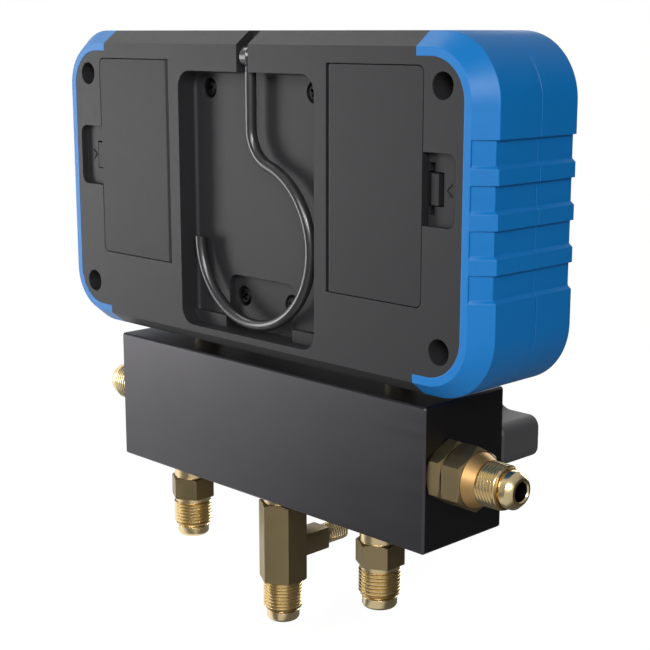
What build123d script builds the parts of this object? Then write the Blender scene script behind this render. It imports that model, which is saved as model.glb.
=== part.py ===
"""Two-valve digital refrigerant manifold gauge, every piece as its own solid.

The origin is the pivot of the hanging hook. +Z is up, the display and the valve
knobs face -Y, and +X is to the right for someone reading the display. Inside this
file a place on the gauge is given as x, z from the middle of the housing, and a
depth counted from the housing's flat back towards its front.
"""

import os
from math import cos, radians, sin

from build123d import *

os.makedirs("parts", exist_ok=True)

# Clearances
RUNNING = 0.05  # radial, a shaft or pin in its hole
SEATED = 0.1  # a fixed piece in its pocket
FREE = 0.3  # between pieces that move past each other

# Housing; its width follows from the well and the doors, its height from the doors
HOUSING_D = 37.4
REAR_SHARE = 0.65
CORNER_R = 16.0
EDGE_SIDE = 4.4
EDGE_TOP = 3.5
EDGE_D = 4.6
EDGE_CORNER_R = 12.0
WALL = 2.2
FACE_WALL = 3.0
SEAM_GAP = 0.15

# Soft corner guards
GUARD_T = 2.1
GUARD_REACH = 20.65
BAND_COUNT = 4
BAND_PITCH = 10.0
BAND_H = 6.4
BAND_Z = 0.4
BAND_D = 0.95
BAND_INNER = 0.5
BAND_RAMP = 0.8

# Well for the folded hook
WELL_W = 52.2
WELL_FROM_TOP = 10.4
WELL_FROM_BOTTOM = 5.3
WELL_D = 6.1
WELL_R = 4.5
WELL_FILLET = 1.0
WELL_SIDE_WALL = 3.3
SHELF_H = 3.2
SHELF_D = 4.7
POCKET_H = 14.6
POCKET_D = 8.3
POCKET_R = 3.0
WELL_BACK = 10.6

# Hanging hook
PIVOT_DROP = 6.5
PIVOT_DEPTH = 2.8
ROD_D = 3.0
NECK_TURN = 72.5
BOW_TO_NECK = 2.15
BOW_ROOM = 4.6
FOOT_ROOM = 1.35
EYE_R = 2.75
EYE_W = 3.4
EYE_EDGE = 0.6
NOTCH_W = 4.4
PIN_D = 2.0
PIN_L = 13.0
PIVOT_BLOCK_W = 17.0

# Battery bays, cells and doors
CELL_D = 14.5
CELL_L = 50.5
CELL_CAP_D = 5.5
CELL_CAP_L = 1.2
CELL_SIDE_ROOM = 0.45
CELL_END_ROOM = 1.75
DOOR_FROM_SIDE = 18.45
DOOR_FROM_TOP = 7.8
DOOR_FROM_BOTTOM = 21.6
DOOR_FROM_WELL = 4.4
DOOR_T = 2.4
DOOR_R = 1.5
DOOR_GAP = 0.25
DOOR_LEDGE = 0.4
BAY_WALL = 1.6
HINGE_PIN_D = 1.2
HINGE_PIN_L = 1.2
CONTACT_T = 0.4
CONTACT_SIDE = 11.0
SPRING_D = 8.0

# Door latch
LATCH_H = 7.2
LATCH_T = 1.0
LATCH_D = 6.6
LATCH_INSET = 0.1
FINGER_X = 3.85
FINGER_T = 2.25
FINGER_D = 1.4
SLOT_BAR_W = 1.95
SLOT_BAR_H = 12.0
SLOT_MID_W = 2.7
SLOT_D = 7.6
LATCH_POCKET_W = 9.8
LATCH_POCKET_H = 16.8
LATCH_POCKET_D = 2.05
LATCH_POCKET_R = 2.4

# Screws of the housing
CASE_SCREW_FROM_SIDE = 12.65
CASE_SCREW_FROM_TOP = 12.0
CASE_HOLE_D = 6.2
CASE_SEAT_D = 12.0
CASE_SHANK_D = 2.9
CASE_SHANK_L = 16.5
BOSS_D = 9.8
HEAD_T = 2.0
WELL_SCREW_FROM_SIDE = 6.1
WELL_SCREW_FROM_TOP = 4.6
WELL_SCREW_FROM_POCKET = 3.6
WELL_SCREW_FROM_BOTTOM = 8.6
WELL_HOLE_D = 5.5
WELL_HOLE_SINK = 1.7
WELL_SHANK_D = 2.4
WELL_SHANK_L = 7.5
WELL_BOSS_D = 8.0

# Display, board and keys
WINDOW_FROM_SIDE = 23.65
WINDOW_FROM_TOP = 9.1
WINDOW_FROM_BOTTOM = 25.1
WINDOW_T = 1.5
WINDOW_R = 4.0
WINDOW_RIM = 4.0
WINDOW_SINK = 0.2
LCD_T = 2.8
LCD_FRAME_WALL = 2.6
LCD_LEDGE = 1.6
BACKLIGHT_T = 2.6
BOARD_T = 1.6
BOARD_FROM_SIDE = 8.65
BOARD_FROM_TOP = 8.6
BOARD_FROM_FACE = 11.1
BOARD_NOTCH = 10.0
STANDOFF_FROM_SIDE = 10.0
STANDOFF_FROM_TOP = 13.5
STANDOFF_D = 5.2
BOARD_SCREW_D = 2.0
BOARD_SCREW_L = 5.0
BOARD_HEAD_D = 3.8
BOARD_HEAD_T = 1.2
KEY_NAMES = ("key_power", "key_mode", "key_enter", "key_up", "key_down")
KEY_PITCH = 20.0
KEY_W = 15.0
KEY_H = 8.0
KEY_R = 2.4
KEY_FROM_BOTTOM = 15.1
KEY_PROUD = 0.9
KEY_TRAVEL = 0.7
KEY_FLANGE = 1.3
KEY_FLANGE_T = 1.1
KEY_ROUND = 0.4
MAT_MARGIN = 2.0
MAT_T = 1.0
DOME_D = 6.0

# Posts and sensors that join the housing to the block
POST_DEPTH = 18.8
POST_D = 8.2
POST_SHANK_L = 7.0
POST_RISE = 5.0
NUT_AF = 12.0
NUT_T = 3.0
SENSOR_D = 14.0
SENSOR_L = 9.5
PLUG_W = 7.0
PLUG_L = 1.8

# Manifold block
BLOCK_GAP = 3.3
BLOCK_W = 119.6
BLOCK_H = 37.0
BLOCK_D = 29.9
BLOCK_BACK = 3.9
BLOCK_EDGE = 0.5
PORT_FROM_END = 21.8
PORT_DEPTH = 12.0
AXIS_DROP = 17.25
GALLERY_D = 4.8
CROSS_D = 3.6
SENSE_D = 2.4
SHANK_D = 9.6
SHANK_L = 8.0

# Flare ends, quarter-inch tube size
FLARE_THREAD_D = 11.112
FLARE_RELIEF_D = 8.4
FLARE_RELIEF_L = 0.6
FLARE_BORE_D = 4.8
THREAD_EDGE = 0.6

# Bottom ports
NECK_D = 10.6
NECK_L = 3.5
PORT_HEX_AF = 11.3
PORT_HEX_L = 6.3
PORT_THREAD_L = 8.3
PORT_NOSE_D = 9.1
PORT_NOSE_L = 3.4
HEX_EDGE = 0.7

# Centre tee
TEE_DEPTH = 13.0
TEE_HEX_AF = 12.0
TEE_HEX_L = 25.1
TEE_THREAD_L = 8.5
TEE_NOSE_L = 3.4
BRANCH_DROP = 16.6
BRANCH_SIDE = 6.4
BRANCH_L = 15.2
BRANCH_THREAD_D = 5.9
BRANCH_THREAD_L = 8.3
BRANCH_BORE_D = 2.8

# End ports
END_NUT_AF = 14.3
END_NUT_L = 4.0
END_GAP = 0.5
END_HEX_L = 5.7
END_CONE_L = 3.0
END_THREAD_L = 6.0
END_NOSE_D = 9.3
END_NOSE_L = 3.8
END_TIP_D = 6.4
STUB_RING_D = 12.4
STUB_RING_L = 1.2
STUB_FOOT_L = 1.4
STUB_THREAD_L = 6.9

# Valves
SEAT_DEPTH = 17.2
CHAMBER_D = 9.2
CHAMBER_L = 7.8
BONNET_D = 14.0
BONNET_HEX_AF = 14.2
BONNET_HEX_L = 4.2
STEM_D = 6.0
SPIGOT_D = 3.0
SPIGOT_L = 1.5
PLUNGER_D = 8.0
PLUNGER_L = 4.5
DISC_D = 6.4
DISC_T = 1.0
RING_W = 1.4
RING_SINK = 1.1
RING_PROUD = 0.2

# Four-lobed knobs
KNOB_GAP = 2.8
KNOB_L = 16.0
KNOB_RECESS_D = 17.2
KNOB_RECESS_GAP = 0.6
STEM_IN = 3.6
KNOB_REACH = 19.7
LOBE_W = 11.2
LOBE_TIP_R = 3.0
LOBE_ROOT_R = 5.0
KNOB_EDGE = 1.2
KNOB_BACK_EDGE = 0.6
CAP_D = 15.0
CAP_T = 1.5
CAP_SINK = 0.2
KNOB_SCREW_D = 2.4
KNOB_SCREW_L = 5.0
KNOB_HEAD_D = 5.4
KNOB_HEAD_T = 1.6

# Sight glass
SIGHT_HEX_AF = 19.0
SIGHT_HEX_L = 3.6
SIGHT_THREAD_D = 15.0
SIGHT_THREAD_L = 6.8
SIGHT_BORE_D = 10.0
SIGHT_GLASS_D = 12.4
SIGHT_GLASS_T = 2.8

# Sizes and places that follow from the sizes above
DOOR_W = 2 * (CELL_D + CELL_SIDE_ROOM + DOOR_LEDGE)
DOOR_L = CELL_L + 2 * (CELL_END_ROOM + DOOR_LEDGE)
HOUSING_W = WELL_W + 2 * (DOOR_FROM_WELL + DOOR_W + DOOR_FROM_SIDE)
HOUSING_H = DOOR_L + DOOR_FROM_TOP + DOOR_FROM_BOTTOM
REAR_D = HOUSING_D / 2 + REAR_SHARE
GUARD_START_X = HOUSING_W / 2 - GUARD_REACH
WELL_TOP = HOUSING_H / 2 - WELL_FROM_TOP
WELL_BOTTOM = WELL_FROM_BOTTOM - HOUSING_H / 2
POCKET_W = WELL_W / 2
PIVOT_HEIGHT = HOUSING_H / 2 - PIVOT_DROP
BOW_R = WELL_W / 2 - BOW_ROOM
NECK_R = BOW_R / BOW_TO_NECK
BOW_TO_PIVOT = PIVOT_HEIGHT - WELL_BOTTOM - FOOT_ROOM - ROD_D / 2 - BOW_R
STEM_L = BOW_TO_PIVOT - (BOW_R + NECK_R) * sin(radians(NECK_TURN))
BACK = Plane(origin=(0, PIVOT_DEPTH, -PIVOT_HEIGHT), x_dir=(1, 0, 0), z_dir=(0, -1, 0))
FACE_INSIDE = HOUSING_D - FACE_WALL
DOOR_X = HOUSING_W / 2 - DOOR_FROM_SIDE - DOOR_W / 2
DOOR_Z = HOUSING_H / 2 - DOOR_FROM_TOP - DOOR_L / 2
BAY_W = DOOR_W - 2 * DOOR_LEDGE
BAY_L = DOOR_L - 2 * DOOR_LEDGE
CELL_DEPTH = DOOR_T + 2 * FREE + CELL_D / 2
BAY_D = CELL_DEPTH + CELL_D / 2 + FREE
DOOR_EDGE_X = DOOR_X + DOOR_W / 2
HINGE_X = DOOR_X - DOOR_W / 2 + DOOR_T / 2
HINGE_DEPTH = DOOR_T / 2
BLOCK_TOP = -HOUSING_H / 2 - BLOCK_GAP
BLOCK_BOTTOM = BLOCK_TOP - BLOCK_H
BLOCK_FRONT = BLOCK_BACK + BLOCK_D
PORT_X = BLOCK_W / 2 - PORT_FROM_END
AXIS_Z = BLOCK_TOP - AXIS_DROP
CHAMBER_FRONT = SEAT_DEPTH + CHAMBER_L
KNOB_BACK = BLOCK_FRONT + KNOB_GAP
KNOB_FRONT = KNOB_BACK + KNOB_L
KNOB_FLOOR = BLOCK_FRONT + BONNET_HEX_L + KNOB_RECESS_GAP
STEM_END = KNOB_FRONT - STEM_IN
WINDOW_W = HOUSING_W - 2 * WINDOW_FROM_SIDE
WINDOW_H = HOUSING_H - WINDOW_FROM_TOP - WINDOW_FROM_BOTTOM
WINDOW_Z = (WINDOW_FROM_BOTTOM - WINDOW_FROM_TOP) / 2
BOARD_W = HOUSING_W - 2 * BOARD_FROM_SIDE
BOARD_H = HOUSING_H - 2 * BOARD_FROM_TOP
BOARD_DEPTH = HOUSING_D - BOARD_FROM_FACE
BOARD_FRONT = BOARD_DEPTH + BOARD_T
STANDOFF_X = BOARD_W / 2 - STANDOFF_FROM_SIDE
STANDOFF_Z = BOARD_H / 2 - STANDOFF_FROM_TOP
KEY_Z = KEY_FROM_BOTTOM - HOUSING_H / 2
FLOOR_WALL_TOP = -HOUSING_H / 2 + GUARD_T + WALL
POST_TOP = FLOOR_WALL_TOP + POST_RISE
CASE_SCREW_X = HOUSING_W / 2 - CASE_SCREW_FROM_SIDE
CASE_SCREW_Z = HOUSING_H / 2 - CASE_SCREW_FROM_TOP
WELL_SCREW_TOP_X = WELL_W / 2 - WELL_SCREW_FROM_SIDE
WELL_SCREW_TOP_Z = WELL_TOP - WELL_SCREW_FROM_TOP
WELL_SCREW_LOW_X = POCKET_W / 2 - WELL_SCREW_FROM_POCKET
WELL_SCREW_LOW_Z = WELL_BOTTOM + WELL_SCREW_FROM_BOTTOM
CASE_SCREWS = [(x, z) for x in (-CASE_SCREW_X, CASE_SCREW_X) for z in (-CASE_SCREW_Z, CASE_SCREW_Z)]
WELL_SCREWS_TOP = [(-WELL_SCREW_TOP_X, WELL_SCREW_TOP_Z), (WELL_SCREW_TOP_X, WELL_SCREW_TOP_Z)]
WELL_SCREWS_LOW = [(-WELL_SCREW_LOW_X, WELL_SCREW_LOW_Z), (WELL_SCREW_LOW_X, WELL_SCREW_LOW_Z)]
STANDOFFS = [(x, z) for x in (-STANDOFF_X, STANDOFF_X) for z in (-STANDOFF_Z, STANDOFF_Z)]
SIDES = {"low": -1, "high": 1}


def at_depth(depth: float) -> Plane:
    """Plane parallel to the back: local x, y are x, z on the gauge, facing the front."""
    return BACK.offset(depth)


def at_height(z: float) -> Plane:
    """Level plane that looks down: local x, y are x and depth on the gauge."""
    return Plane(origin=(0, PIVOT_DEPTH, z - PIVOT_HEIGHT), x_dir=(1, 0, 0), z_dir=(0, 0, -1))


def seat(x: float, depth: float, z: float, out: tuple, across: tuple) -> Plane:
    """Plane at a place on the gauge that faces the way its fitting points."""
    return Plane(origin=(x, PIVOT_DEPTH - depth, z - PIVOT_HEIGHT), x_dir=across, z_dir=out)


def post_seat(side: int, z: float) -> Plane:
    """Upward plane on the axis of a sensor post."""
    return seat(side * PORT_X, POST_DEPTH, z, (0, 0, 1), (1, 0, 0))


def port_seat(x: float, depth: float) -> Plane:
    """Underside of the block where a bottom fitting seats."""
    return seat(x, depth, BLOCK_BOTTOM, (0, 0, -1), (0, 1, 0))


def end_seat(side: int) -> Plane:
    """End face of the block where an end port seats."""
    return seat(side * BLOCK_W / 2, PORT_DEPTH, AXIS_Z, (side, 0, 0), (0, 0, 1))


def valve_seat(side: int, depth: float) -> Plane:
    """Plane across a valve's axis, facing the front."""
    return seat(side * PORT_X, depth, AXIS_Z, (0, -1, 0), (0, 0, 1))


def stud(base: Plane, diameter: float, length: float) -> None:
    """Add a round length to the part in hand, outward from base."""
    with BuildSketch(base) as section:
        Circle(diameter / 2)
    extrude(section.sketch, amount=length)


def bore(mouth: Plane, diameter: float, length: float) -> None:
    """Drill a flat-ended hole into the part in hand, inward from its mouth."""
    with BuildSketch(mouth) as section:
        Circle(diameter / 2)
    extrude(section.sketch, amount=-length, mode=Mode.SUBTRACT)


def cone(base: Plane, start_d: float, end_d: float, length: float) -> None:
    """Add a cone to the part in hand, outward from base."""
    with BuildSketch(base) as foot:
        Circle(start_d / 2)
    with BuildSketch(base.offset(length)) as tip:
        Circle(end_d / 2)
    loft([foot.sketch, tip.sketch])


def hexagon(base: Plane, across_flats: float, length: float) -> None:
    """Add a hexagon with both its ends chamfered to a circle, outward from base."""
    with BuildSketch(base) as flats:
        RegularPolygon(across_flats / 2, 6, major_radius=False)
    nut = extrude(flats.sketch, amount=length, mode=Mode.PRIVATE)
    corner_d = across_flats / cos(radians(30))
    with BuildSketch(base) as foot:
        Circle(across_flats / 2)
    with BuildSketch(base.offset(HEX_EDGE)) as shoulder:
        Circle(corner_d / 2)
    with BuildSketch(base.offset(length - HEX_EDGE)) as neck:
        Circle(corner_d / 2)
    with BuildSketch(base.offset(length)) as tip:
        Circle(across_flats / 2)
    envelope = loft([foot.sketch, shoulder.sketch, neck.sketch, tip.sketch], ruled=True, mode=Mode.PRIVATE)
    add(nut & envelope)


def flare_end(base: Plane, thread_l: float, nose_d: float, nose_l: float, tip_d: float) -> None:
    """Add a male flare thread, its relief and its coned nose, outward from base."""
    plain_l = thread_l - THREAD_EDGE
    stud(base, FLARE_THREAD_D, plain_l)
    cone(base.offset(plain_l), FLARE_THREAD_D, FLARE_THREAD_D - 2 * THREAD_EDGE, THREAD_EDGE)
    stud(base.offset(thread_l), FLARE_RELIEF_D, FLARE_RELIEF_L)
    cone_l = (nose_d - tip_d) / 2
    nose = base.offset(thread_l + FLARE_RELIEF_L)
    stud(nose, nose_d, nose_l - FLARE_RELIEF_L - cone_l)
    cone(nose.offset(nose_l - FLARE_RELIEF_L - cone_l), nose_d, tip_d, cone_l)


def housing_form(inset: float) -> Part:
    """Chamfered block of the whole housing, shrunk sideways by inset."""
    full_w = HOUSING_W - 2 * inset
    full_h = HOUSING_H - 2 * inset
    with BuildPart() as form:
        with BuildSketch(at_depth(0), at_depth(HOUSING_D)) as edge:
            RectangleRounded(full_w - 2 * EDGE_SIDE, full_h - 2 * EDGE_TOP, EDGE_CORNER_R - inset)
        with BuildSketch(at_depth(EDGE_D), at_depth(HOUSING_D - EDGE_D)) as full:
            RectangleRounded(full_w, full_h, CORNER_R - inset)
        faces_by_depth = (edge.sketch.faces() + full.sketch.faces()).sort_by(Axis.Y, reverse=True)
        loft(faces_by_depth, ruled=True)
    return form.part


def label_and_export(piece: Part, name: str) -> None:
    """Name a finished piece and write its file."""
    piece.label = name
    export_step(piece, f"parts/{name}.step")


# Corner guards: everything outside the core at the two ends, with banded sides
core_form = housing_form(GUARD_T)
with BuildPart() as guard_space:
    add(housing_form(0))
    add(core_form, mode=Mode.SUBTRACT)
    split(bisect_by=Plane.YZ.offset(GUARD_START_X), keep=Keep.TOP)


def band_outline(z: float, sink: float) -> Sketch:
    """Ring-shaped section, just outside the housing's side, sunk into it by sink."""
    edge_x = HOUSING_W / 2 - EDGE_SIDE
    with BuildSketch(at_height(z)) as outline:
        with BuildLine():
            side_x = HOUSING_W / 2 - sink
            rim_sink = sink * BAND_INNER
            corner_depth = EDGE_D + sink * (EDGE_D / EDGE_SIDE - 1)
            Polyline(
                (HOUSING_W, -FREE),
                (edge_x, -FREE),
                (edge_x, rim_sink),
                (side_x, corner_depth),
                (side_x, HOUSING_D - corner_depth),
                (edge_x, HOUSING_D - rim_sink),
                (edge_x, HOUSING_D + FREE),
                (HOUSING_W, HOUSING_D + FREE),
                close=True,
            )
        make_face()
    return outline.sketch


with BuildPart() as guard:
    add(guard_space.part)
    for index in range(BAND_COUNT):
        top_z = BAND_Z + (index - (BAND_COUNT - 1) / 2) * BAND_PITCH + BAND_H / 2
        extrude(band_outline(top_z, BAND_D), amount=BAND_H - BAND_RAMP, mode=Mode.SUBTRACT)
        ramp_z = top_z - BAND_H + BAND_RAMP
        loft(
            [band_outline(ramp_z, BAND_D), band_outline(top_z - BAND_H, 0)],
            ruled=True,
            mode=Mode.SUBTRACT,
        )

guard_cuts = {
    "rear": (at_depth(REAR_D - SEAM_GAP), Keep.BOTTOM),
    "front": (at_depth(REAR_D + SEAM_GAP), Keep.TOP),
}
for half, (cut_plane, keep_side) in guard_cuts.items():
    with BuildPart() as right_guard:
        add(guard.part)
        split(bisect_by=cut_plane, keep=keep_side)
    label_and_export(right_guard.part, f"guard_{half}_right")
    with BuildPart() as left_guard:
        mirror(right_guard.part, about=Plane.YZ)
    label_and_export(left_guard.part, f"guard_{half}_left")

# Black core that both shells are cut from
with BuildPart() as shell_core:
    add(housing_form(0))
    add(guard_space.part, mode=Mode.SUBTRACT)
    mirror(guard_space.part, about=Plane.YZ, mode=Mode.SUBTRACT)

inner_w = HOUSING_W - 2 * (GUARD_T + WALL)
inner_h = HOUSING_H - 2 * (GUARD_T + WALL)
inner_r = CORNER_R - GUARD_T - WALL
inner_edge_w = inner_w - 2 * EDGE_SIDE
inner_edge_h = inner_h - 2 * EDGE_TOP
inner_edge_r = EDGE_CORNER_R - GUARD_T - WALL

# Space of the hook's well, with its shelf and the deeper screw pocket
with BuildPart() as well_space:
    with BuildSketch(at_depth(0)):
        with Locations((0, (WELL_TOP + WELL_BOTTOM) / 2)):
            RectangleRounded(WELL_W, WELL_TOP - WELL_BOTTOM, WELL_R)
    extrude(amount=WELL_D)
    fillet(well_space.faces().sort_by(Axis.Y)[0].edges(), WELL_FILLET)
    with BuildSketch(at_depth(SHELF_D)):
        with Locations((0, WELL_BOTTOM)):
            Rectangle(WELL_W, SHELF_H, align=(Align.CENTER, Align.MIN))
    extrude(amount=WELL_D - SHELF_D, mode=Mode.SUBTRACT)
    with BuildSketch(at_depth(SHELF_D)):
        with Locations((0, WELL_BOTTOM)):
            Rectangle(POCKET_W, POCKET_H, align=(Align.CENTER, Align.MIN))
        fillet(vertices().group_by(Axis.Y)[-1], POCKET_R)
    extrude(amount=POCKET_D - SHELF_D)

# Space of the right-hand latch pocket, round at its outer corners, and its stepped slot
with BuildPart() as latch_space:
    with BuildSketch(at_depth(0)):
        with Locations((DOOR_EDGE_X, DOOR_Z)):
            pocket_w = DOOR_GAP + LATCH_POCKET_W
            Rectangle(pocket_w, LATCH_POCKET_H, align=(Align.MIN, Align.CENTER))
        fillet(vertices().group_by(Axis.X)[-1], LATCH_POCKET_R)
    extrude(amount=LATCH_POCKET_D)
    with BuildSketch(at_depth(0)):
        with Locations((DOOR_EDGE_X, DOOR_Z)):
            Rectangle(SLOT_BAR_W + DOOR_GAP, SLOT_BAR_H, align=(Align.MIN, Align.CENTER))
        with Locations((DOOR_X, DOOR_Z)):
            Rectangle(
                DOOR_W / 2 + DOOR_GAP + SLOT_BAR_W + SLOT_MID_W,
                LATCH_H + 2 * FREE,
                align=(Align.MIN, Align.CENTER),
            )
    extrude(amount=SLOT_D)

# Space of the right-hand battery bay with the seat of its door and hinge holes
with BuildPart() as bay_space:
    with BuildSketch(at_depth(0)):
        with Locations((DOOR_X, DOOR_Z)):
            RectangleRounded(DOOR_W + 2 * DOOR_GAP, DOOR_L + 2 * DOOR_GAP, DOOR_R + DOOR_GAP)
        with Locations((HINGE_X, DOOR_Z)):
            Rectangle(DOOR_T + 2 * DOOR_GAP, DOOR_L + 2 * DOOR_GAP)
    extrude(amount=DOOR_T + FREE)
    with BuildSketch(at_depth(0)):
        with Locations((DOOR_X, DOOR_Z)):
            Rectangle(BAY_W, BAY_L)
    extrude(amount=BAY_D)
    hole_l = DOOR_L + 2 * (HINGE_PIN_L + FREE)
    hinge_hole_base = seat(HINGE_X, HINGE_DEPTH, DOOR_Z - hole_l / 2, (0, 0, 1), (1, 0, 0))
    stud(hinge_hole_base, HINGE_PIN_D + 2 * RUNNING, hole_l)

# Rear shell: well, notch for the hook, battery bays, latch pockets, screw bosses
with BuildPart() as rear_shell:
    add(shell_core.part)
    split(bisect_by=at_depth(REAR_D), keep=Keep.BOTTOM)
    with BuildSketch(at_depth(WALL)):
        RectangleRounded(inner_edge_w, inner_edge_h, inner_edge_r)
        with Locations((-DOOR_X, DOOR_Z), (DOOR_X, DOOR_Z)):
            Rectangle(BAY_W + 2 * BAY_WALL, BAY_L + 2 * BAY_WALL, mode=Mode.SUBTRACT)
        with Locations((0, (WELL_TOP + WELL_BOTTOM) / 2)):
            well_h = WELL_TOP - WELL_BOTTOM + 2 * WALL
            Rectangle(WELL_W + 2 * WELL_SIDE_WALL, well_h, mode=Mode.SUBTRACT)
        with Locations((0, WELL_TOP)):
            pivot_block_h = HOUSING_H / 2 - WELL_TOP
            Rectangle(PIVOT_BLOCK_W, pivot_block_h, align=(Align.CENTER, Align.MIN), mode=Mode.SUBTRACT)
        with Locations((-DOOR_EDGE_X, DOOR_Z), (DOOR_EDGE_X, DOOR_Z)):
            latch_box_w = 2 * (LATCH_POCKET_W + WALL)
            Rectangle(latch_box_w, LATCH_POCKET_H + 2 * BAY_WALL, mode=Mode.SUBTRACT)
        with Locations(*CASE_SCREWS):
            Circle(BOSS_D / 2, mode=Mode.SUBTRACT)
    extrude(amount=WELL_BACK - WALL, mode=Mode.SUBTRACT)
    with BuildSketch(at_depth(WELL_BACK)):
        RectangleRounded(inner_w, inner_h, inner_r)
        with Locations((-DOOR_X, DOOR_Z), (DOOR_X, DOOR_Z)):
            Rectangle(BAY_W + 2 * BAY_WALL, BAY_L + 2 * BAY_WALL, mode=Mode.SUBTRACT)
        with Locations(*CASE_SCREWS):
            Circle(BOSS_D / 2, mode=Mode.SUBTRACT)
        with Locations(*WELL_SCREWS_TOP, *WELL_SCREWS_LOW):
            Circle(WELL_BOSS_D / 2, mode=Mode.SUBTRACT)
    extrude(amount=REAR_D - WELL_BACK, mode=Mode.SUBTRACT)
    add(well_space.part, mode=Mode.SUBTRACT)
    add(bay_space.part, mode=Mode.SUBTRACT)
    mirror(bay_space.part, about=Plane.YZ, mode=Mode.SUBTRACT)
    add(latch_space.part, mode=Mode.SUBTRACT)
    mirror(latch_space.part, about=Plane.YZ, mode=Mode.SUBTRACT)
    with BuildSketch(at_depth(0)):
        with Locations((0, WELL_TOP - WELL_R)):
            Rectangle(NOTCH_W, HOUSING_H / 2, align=(Align.CENTER, Align.MIN))
    extrude(amount=WELL_D, mode=Mode.SUBTRACT)
    bore(Plane.YZ.offset(PIN_L / 2), PIN_D + 2 * RUNNING, PIN_L)
    with Locations(*[at_depth(0) * Pos(x, z) for x, z in CASE_SCREWS]):
        Cylinder(CASE_HOLE_D / 2, 2 * CASE_SEAT_D, mode=Mode.SUBTRACT)
        Cylinder(CASE_SHANK_D / 2 + SEATED, 2 * REAR_D, mode=Mode.SUBTRACT)
    for screws, floor_depth in ((WELL_SCREWS_TOP, WELL_D), (WELL_SCREWS_LOW, POCKET_D)):
        with Locations(*[at_depth(floor_depth) * Pos(x, z) for x, z in screws]):
            Cylinder(WELL_HOLE_D / 2, 2 * WELL_HOLE_SINK, mode=Mode.SUBTRACT)
            hole_l = 2 * (WELL_HOLE_SINK + WELL_SHANK_L + FREE)
            Cylinder(WELL_SHANK_D / 2 + SEATED, hole_l, mode=Mode.SUBTRACT)
    for side in SIDES.values():
        bore(post_seat(side, POST_TOP), POST_D + 2 * SEATED, HOUSING_H / 2 + POST_TOP + FREE)
label_and_export(rear_shell.part, "rear_shell")

# Front shell: window, key holes, screw bosses and standoffs of the board
with BuildPart() as front_shell:
    add(shell_core.part)
    split(bisect_by=at_depth(REAR_D), keep=Keep.TOP)
    with BuildSketch(at_depth(REAR_D)):
        RectangleRounded(inner_w, inner_h, inner_r)
    extrude(amount=HOUSING_D - EDGE_D - REAR_D, mode=Mode.SUBTRACT)
    with BuildSketch(at_depth(HOUSING_D - EDGE_D)):
        RectangleRounded(inner_edge_w, inner_edge_h, inner_edge_r)
    extrude(amount=EDGE_D - FACE_WALL, mode=Mode.SUBTRACT)
    with BuildSketch(at_depth(REAR_D)):
        with Locations(*CASE_SCREWS):
            Circle(BOSS_D / 2)
    extrude(amount=FACE_INSIDE - REAR_D)
    with BuildSketch(at_depth(BOARD_FRONT)):
        with Locations(*STANDOFFS):
            Circle(STANDOFF_D / 2)
    extrude(amount=FACE_INSIDE - BOARD_FRONT)
    with BuildSketch(at_depth(HOUSING_D)):
        with Locations((0, WINDOW_Z)):
            RectangleRounded(WINDOW_W + 2 * SEATED, WINDOW_H + 2 * SEATED, WINDOW_R + SEATED)
    extrude(amount=-(WINDOW_T + WINDOW_SINK), mode=Mode.SUBTRACT)
    with BuildSketch(at_depth(HOUSING_D)):
        with Locations((0, WINDOW_Z)):
            Rectangle(WINDOW_W - 2 * WINDOW_RIM, WINDOW_H - 2 * WINDOW_RIM)
        with Locations((0, KEY_Z)):
            with GridLocations(KEY_PITCH, 1, len(KEY_NAMES), 1):
                RectangleRounded(KEY_W + 2 * FREE, KEY_H + 2 * FREE, KEY_R + FREE)
    extrude(amount=-FACE_WALL, mode=Mode.SUBTRACT)
    with Locations(*[at_depth(REAR_D) * Pos(x, z) for x, z in CASE_SCREWS]):
        pilot_l = CASE_SEAT_D + CASE_SHANK_L + FREE - REAR_D
        Cylinder(CASE_SHANK_D / 2 + RUNNING, 2 * pilot_l, mode=Mode.SUBTRACT)
    with Locations(*[at_depth(BOARD_FRONT) * Pos(x, z) for x, z in STANDOFFS]):
        pilot_l = BOARD_SCREW_L - BOARD_T + FREE
        Cylinder(BOARD_SCREW_D / 2 + RUNNING, 2 * pilot_l, mode=Mode.SUBTRACT)
    for side in SIDES.values():
        bore(post_seat(side, POST_TOP), POST_D + 2 * SEATED, HOUSING_H / 2 + POST_TOP + FREE)
label_and_export(front_shell.part, "front_shell")


def screw_set(places: list, head_d: float, head_t: float, shank_d: float, shank_l: float, seats: list) -> Part:
    """Pan-headed screws that point to the front, one for each place and seat depth."""
    with BuildPart() as screws:
        for (x, z), seat_depth in zip(places, seats):
            under_head = seat(x, seat_depth, z, (0, -1, 0), (1, 0, 0))
            stud(under_head, shank_d, shank_l)
            stud(under_head.offset(-head_t), head_d, head_t)
    return screws.part


case_screws = screw_set(
    CASE_SCREWS,
    CASE_HOLE_D - 2 * FREE,
    HEAD_T,
    CASE_SHANK_D,
    CASE_SHANK_L,
    [CASE_SEAT_D] * len(CASE_SCREWS),
)
label_and_export(case_screws, "case_screws")

top_seats = [WELL_D + WELL_HOLE_SINK] * len(WELL_SCREWS_TOP)
low_seats = [POCKET_D + WELL_HOLE_SINK] * len(WELL_SCREWS_LOW)
well_screws = screw_set(
    WELL_SCREWS_TOP + WELL_SCREWS_LOW,
    WELL_HOLE_D - 2 * FREE,
    WELL_HOLE_SINK,
    WELL_SHANK_D,
    WELL_SHANK_L,
    top_seats + low_seats,
)
label_and_export(well_screws, "well_screws")

board_screws = screw_set(
    STANDOFFS,
    BOARD_HEAD_D,
    BOARD_HEAD_T,
    BOARD_SCREW_D,
    BOARD_SCREW_L,
    [BOARD_DEPTH] * len(STANDOFFS),
)
label_and_export(board_screws, "board_screws")

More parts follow.
